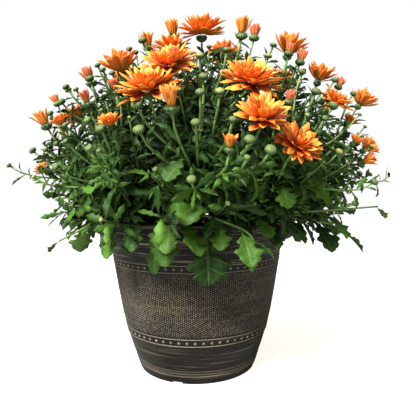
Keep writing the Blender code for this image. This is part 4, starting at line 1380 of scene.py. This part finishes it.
def sideTwigs(stems, axes, tests, rng):
    # leafy twigs low round the plant, some with a small bud at the end
    for polar, reach, first, count in greens["twigs"]:
        for k in range(count):
            azimuth = first + 360 * k / count + rng.uniform(-7, 7)
            end = plant["crown"] + direction(azimuth, polar + rng.uniform(-4, 4)) * reach * rng.uniform(0.90, 1.0)
            stem = stems[ownStem(end, axes)]
            root = onCurve(stem["main"], rng.uniform(0.40, 0.62))
            sag = Vector((0, 0, -0.04 * (end - root).length))
            path = [root, root.lerp(end, 0.40) + sag, root.lerp(end, 0.80) + sag * 0.8, end]
            if polar > 65 and end.y < 0.06:
                continue
            if not (inBox([end]) and clearOfPot(curve(path, 8)[3:])):
                continue
            twig = {"path": path, "thin": True, "twig": True}
            if rng.random() < 0.45:
                twig["bud"] = plant["budRadius"] * rng.uniform(0.40, 0.70)
            stem["stalks"].append(twig)


# buds that show their pink petals: azimuth, degrees from upright, reach in mm, size
pinkRows = [
    (-65, 26, 290, 1.25), (-46, 31, 281, 1.20), (-52, 30, 285, 1.10), (-97, 34, 276, 1.0), (-134, 34, 272, 1.1),
    (-152, 39, 268, 1.0), (-66, 45, 264, 1.0), (-24, 36, 280, 1.1), (30, 30, 286, 1.1), (110, 34, 280, 1.1),
    (170, 44, 266, 1.0), (70, 46, 266, 1.1),
]


def pinkBuds(stems, axes, taken):
    for azimuth, polar, reach, size in pinkRows:
        place = plant["crown"] + direction(azimuth, polar) * (reach / 1000)
        taken.append((place, greens["budSpace"]))
        stem = stems[ownStem(place, axes)]
        facing = (place - plant["domeCentre"]).normalized() + Vector((0, 0, 1.6))
        facing.normalize()
        path = stalkPath(stem["main"], stem["axis"], place, facing, len(stem["stalks"]))
        stem["stalks"].append({"path": path, "bud": plant["budRadius"] * size, "thin": True, "pink": True})


def addPinkTip(pile, template, foot, facing, size, rng):
    # closed petals that stand out of the top of a bud
    for row, (count, rise) in enumerate(((7, 66), (6, 76), (4, 86))):
        for k in range(count):
            spoke = sideOf(facing, 2 * math.pi * (k + 0.5 * row) / count + rng.uniform(-0.15, 0.15))
            tilt = math.radians(rise + rng.uniform(-4, 4))
            ahead = spoke * math.cos(tilt) + facing * math.sin(tilt)
            up = facing * math.cos(tilt) - spoke * math.sin(tilt)
            root = Vector(foot) + facing * (size * 0.85) + spoke * (size * (0.50 - 0.16 * row))
            shape = petalCopy(template, root, ahead, up, size * rng.uniform(1.7, 2.2), size * 0.80, 0.26, 0.5)
            tone = np.stack([np.full(len(shape), rng.uniform(0.2, 0.8)), template["back"],
                             np.full(len(shape), 1.0), np.ones(len(shape))], 1)
            addTo(pile, shape, template["faces"], template["map"], tone)


# leaves that lean over the lip: azimuth, length in mm, width, how steeply they hang
rimRows = [
    (-152, 34, 0.9, 0.2), (-144, 38, 0.9, 0.5), (-136, 36, 0.8, 0.3), (-129, 46, 0.8, 0.9), (-122, 38, 0.9, 0.4),
    (-115, 42, 0.8, 0.6), (-107, 56, 0.5, 1.2), (-103, 38, 0.9, 0.5), (-98, 50, 1.0, 0.9), (-85, 66, 1.15, 1.15),
    (-78, 40, 0.9, 0.6), (-72, 36, 0.8, 0.3), (-64, 56, 0.45, 1.2), (-61, 38, 0.9, 0.3), (-54, 40, 0.8, 0.7),
    (-46, 36, 0.9, 0.3), (-38, 40, 0.8, 0.6), (-29, 36, 0.9, 0.4), (-20, 38, 0.8, 0.3), (-10, 36, 0.9, 0.5),
]


def rimLeaves(stems, axes, rng):
    rows = list(rimRows)
    for azimuth in range(0, 200, 9):
        rows.append((azimuth + rng.uniform(-3, 3), rng.uniform(34, 50), rng.uniform(0.7, 1.05), rng.uniform(0.2, 1.0)))
    for azimuth, length, width, hang in rows:
        for lift in (0.0, 0.003, 0.006, 0.010, 0.015):
            root = around(azimuth, 0.1225 + lift * 0.3, 0.1865 + lift)
            outward = around(azimuth, 1.0, 0.0)
            leaf = hangLeaf(root, outward, rng.uniform(-0.3, 0.3), length / 1000, hang)
            leaf["width"] = width
            leaf["fold"] = rng.uniform(0.1, 0.4)
            leaf["low"] = True
            if clearOfPot(leafPoints(leaf)) and inBox(leafPoints(leaf)):
                inner = around(azimuth + rng.uniform(-8, 8), 0.094, 0.178)
                stem = stems[ownStem(inner, axes)]
                start = onCurve(stem["main"], 0.36)
                stem["rim"].append((leaf, [start, inner, root + leaf["ahead"] * 0.004]))
                break


def extraBuds(stems, axes, blooms, rng):
    # closed buds between the others, each on its own thin stalk
    taken = [(b["base"], b["radius"] * 0.9 + greens["budSpace"] * 0.5) for b in blooms]
    for azimuth, polar, reach in budRows:
        taken.append((plant["crown"] + direction(azimuth, polar) * (reach / 1000), greens["budSpace"]))
    pinkBuds(stems, axes, taken)
    made = 0
    while made < greens["extraBuds"]:
        azimuth = rng.uniform(-180, 180)
        polar = math.degrees(math.acos(rng.uniform(math.cos(math.radians(60)), math.cos(math.radians(6)))))
        reach = 0.262 + 0.034 * math.cos(math.radians(polar * 1.5)) - rng.uniform(0.0, 0.045)
        place = plant["crown"] + direction(azimuth, polar) * reach
        if not clearOf([place], taken):
            continue
        taken.append((place, greens["budSpace"]))
        stem = stems[ownStem(place, axes)]
        facing = (place - plant["domeCentre"]).normalized() + Vector((0, 0, 0.9))
        facing.normalize()
        path = stalkPath(stem["main"], stem["axis"], place, facing, len(stem["stalks"]))
        stem["stalks"].append({"path": path, "bud": plant["budRadius"] * rng.uniform(0.50, 0.95), "thin": True})
        made += 1


def growStem(number, stem, templates, materials, rng, tests):
    piles = {"stalks": newPile(), "leaves": newPile(), "buds": newPile(), "pinkTips": newPile()}
    # painted shade: the main stem, deep inside the plant, gets a dark tone
    inner = rng.uniform(0.15, 0.35)
    addStalk(piles["stalks"], stem["main"], greens["stemThick"], greens["stemThin"], inner, 12, 8)
    for shoot in stem["shoots"]:
        steps = [onSmooth(shoot, i / 14) for i in range(15)]
        points, faces, mapped = tubeMesh(steps, [0.0017 - 0.0008 * i / 14 for i in range(15)], 6)
        addTo(piles["stalks"], points, faces, mapped, plainTone(len(points), 0.85))
    for leaf in stem["leaves"]:
        addLeaf(piles["leaves"], templates["leaf"], leaf, rng)
    for leaf, path in stem["rim"]:
        addLeaf(piles["leaves"], templates["leaf"], leaf, rng)
        addStalk(piles["stalks"], path, 0.0011, 0.0007, 0.8, 8, 5)
    for leaf, kind in extraLeaves(stem, rng, tests):
        addLeaf(piles["leaves"], templates[kind], leaf, rng)
    for stalk in stem["stalks"]:
        thin = 0.75 if stalk.get("thin") else 1.0
        # painted shade: twig stalks, which fill the inside of the plant, get darker tones than bloom and bud stalks
        light = rng.uniform(0.15, 0.60) if "twig" in stalk else rng.uniform(0.60, 1.0)
        addStalk(piles["stalks"], stalk["path"], greens["stalkThick"] * thin, greens["stalkThin"] * thin, light)
        if "bloom" in stalk:
            addCalyx(piles["stalks"], piles["leaves"], templates["bract"], stalk, rng)
        elif "bud" in stalk:
            facing = (stalk["path"][-1] - stalk["path"][-2]).normalized()
            addBud(piles, templates, stalk["path"][-1], facing, stalk["bud"], rng)
            if "pink" in stalk:
                addPinkTip(piles["pinkTips"], templates["petal"], stalk["path"][-1], facing, stalk["bud"], rng)
    for name, pile in piles.items():
        if pile["count"]:
            piece = pileObject(f"{name}_{number:02d}", pile, materials[name])
            setUp(piece, [f"leafy_stem_{number:02d}"])


def onSmooth(path, share):
    # a smooth line through the points of a shoot
    last = len(path) - 1
    at = min(share * last, last - 1e-6)
    i = int(at)
    t = at - i
    p0, p1, p2, p3 = path[max(i - 1, 0)], path[i], path[i + 1], path[min(i + 2, last)]
    return 0.5 * (2 * p1 + (p2 - p0) * t + (2 * p0 - 5 * p1 + 4 * p2 - p3) * t ** 2
                  + (3 * p1 - p0 - 3 * p2 + p3) * t ** 3)


def buildPlant():
    stems, blooms, axes, blocks = planPlant()
    petal = shell("petal", petalShape["across"], petalShape["along"], petalShape["thickness"])
    petal["map"] = np.stack([0.5 + 0.5 * petal["points"][:, 0], petal["points"][:, 1]], 1)
    bract = shell("bract", 2, 2, petalShape["thickness"] * 2)
    bract["map"] = np.stack([0.5 + 0.5 * bract["points"][:, 0], bract["points"][:, 1]], 1)
    templates = {"petal": petal, "bract": bract, "bud": budTemplate(),
                 "leaf": leafTemplate("leaf", toothed(leafShape["widths"]), 4),
                 "midLeaf": leafTemplate("midLeaf", leafShape["midWidths"], 2),
                 "smallLeaf": leafTemplate("smallLeaf", leafShape["smallWidths"], 2),
                 "plainLeaf": leafTemplate("plainLeaf", leafShape["plainWidths"], 2)}
    petals = petalMaterial()
    eyes = eyeMaterial()
    rng = random.Random(4)
    for number, flower in enumerate(blooms):
        growBloom(number + 1, flower, petal, rng, petals, eyes)
    print("blooms built:", len(blooms))
    materials = {"stalks": stalkMaterial(), "leaves": leafMaterial(), "buds": budMaterial(), "pinkTips": petals}
    rng = random.Random(greens["extraSeed"])
    extraBuds(stems, axes, blooms, rng)
    rimLeaves(stems, axes, rng)
    tests = [lambda points: clearOfArrays(points, blocks), clearOfPot, inBox]
    sideTwigs(stems, axes, tests, rng)
    for number, stem in enumerate(stems):
        growStem(number + 1, stem, templates, materials, rng, tests)
    print("stems built:", len(stems))


# Floor, light and camera

studio = {
    "camera": (0.0146, -0.506, 0.2054),
    "pitch": math.radians(1.48),
    "roll": math.radians(-0.47),
    "lens": 400 / 416 * 36,
    "backdrop": (1.0, 1.0, 1.0),
    "sky": 0.11,
    "floor": (0.40, 0.40, 0.38),
    # painted shadow: the floor glows dimmer and warmer round the pot's foot
    "floorGlowInShade": 0.93,
    "floorShadeTint": (1.0, 0.975, 0.90),
    "shadeTintTo": 0.15,
    "whiteFrom": 0.55,
    "key": {"place": (-0.7, -1.2, 1.5), "size": 0.6, "power": 98.0},
    "fill": {"place": (1.2, -1.0, 0.7), "size": 1.4, "power": 4.0},
    "top": {"place": (0.1, 0.5, 1.9), "size": 1.2, "power": 10.0},
}


def areaLight(name, settings):
    lamp = bpy.data.lights.new(name, "AREA")
    lamp.size = settings["size"]
    lamp.energy = settings["power"]
    thing = bpy.data.objects.new(name, lamp)
    thing.location = settings["place"]
    aim = Vector((0.01, 0, 0.2)) - Vector(settings["place"])
    thing.rotation_euler = aim.to_track_quat("-Z", "Y").to_euler()
    bpy.context.scene.collection.objects.link(thing)


def whiteForCamera(tree, shown, lit, joined):
    # what the camera sees of the backdrop, and how it lights the plant, are set apart
    path = addNode(tree, "ShaderNodeLightPath")
    choose = addNode(tree, "ShaderNodeMixShader")
    tree.links.new(path.outputs["Is Camera Ray"], choose.inputs[0])
    tree.links.new(lit, choose.inputs[1])
    tree.links.new(shown, choose.inputs[2])
    tree.links.new(choose.outputs[0], joined)


def buildStudio():
    deselectAll()
    bpy.ops.mesh.primitive_grid_add(x_subdivisions=8, y_subdivisions=8, size=24.0)
    floor = bpy.context.object
    floor.name = "floor"
    material = bpy.data.materials.new("paleFloor")
    material.use_nodes = True
    tree = material.node_tree
    tree.nodes.remove(tree.nodes["Principled BSDF"])
    matt = addNode(tree, "ShaderNodeBsdfDiffuse")
    matt.inputs["Color"].default_value = (*studio["floor"], 1.0)
    glow = addNode(tree, "ShaderNodeEmission")
    place = addNode(tree, "ShaderNodeTexCoord")
    reach = addNode(tree, "ShaderNodeVectorMath", operation="LENGTH")
    tree.links.new(place.outputs["Object"], reach.inputs[0])
    # painted shadow: near the pot's foot the floor glows a little dimmer and warmer, standing in for the pot's soft
    # shadow; further out it glows plain white
    far = rangeOf(tree, reach.outputs["Value"], studio["shadeTintTo"], studio["whiteFrom"])
    tree.links.new(mixColour(tree, far, studio["floorShadeTint"], (1.0, 1.0, 1.0)), glow.inputs["Color"])
    tree.links.new(rangeOf(tree, reach.outputs["Value"], studio["shadeTintTo"], studio["whiteFrom"],
                           studio["floorGlowInShade"], 1.0), glow.inputs["Strength"])
    both = addNode(tree, "ShaderNodeAddShader")
    tree.links.new(matt.outputs[0], both.inputs[0])
    tree.links.new(glow.outputs[0], both.inputs[1])
    whiteForCamera(tree, both.outputs[0], matt.outputs[0], tree.nodes["Material Output"].inputs["Surface"])
    floor.data.materials.append(material)
    floor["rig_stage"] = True
    world = bpy.data.worlds.new("studio")
    bpy.context.scene.world = world
    world.use_nodes = True
    tree = world.node_tree
    sky = tree.nodes["Background"]
    sky.inputs["Color"].default_value = (*studio["backdrop"], 1.0)
    sky.inputs["Strength"].default_value = studio["sky"]
    white = addNode(tree, "ShaderNodeBackground")
    white.inputs["Color"].default_value = (*studio["backdrop"], 1.0)
    white.inputs["Strength"].default_value = 1.0
    whiteForCamera(tree, white.outputs[0], sky.outputs[0], tree.nodes["World Output"].inputs["Surface"])
    for name in ("key", "fill", "top"):
        areaLight(name, studio[name])
    camera = bpy.data.cameras.new("camera")
    camera.sensor_width = 36
    camera.lens = studio["lens"]
    camera.clip_start = 0.01
    viewer = bpy.data.objects.new("camera", camera)
    viewer.matrix_world = (Matrix.Translation(studio["camera"])
                           @ Matrix.Rotation(math.pi / 2 - studio["pitch"], 4, "X")
                           @ Matrix.Rotation(studio["roll"], 4, "Z"))
    bpy.context.scene.collection.objects.link(viewer)
    bpy.context.scene.camera = viewer
    bpy.context.scene.view_settings.view_transform = "Standard"
    print("studio built")


buildPot()
buildSoil()
buildPlant()
buildStudio()

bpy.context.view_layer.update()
shown = [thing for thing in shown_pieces() if "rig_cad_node" not in thing]
counts = {}
for thing in shown:
    kind = thing.name.split("_")[0]
    counts[kind] = counts.get(kind, 0) + sum(len(face.vertices) - 2 for face in thing.data.polygons)
print("triangles:", sum(counts.values()), counts)
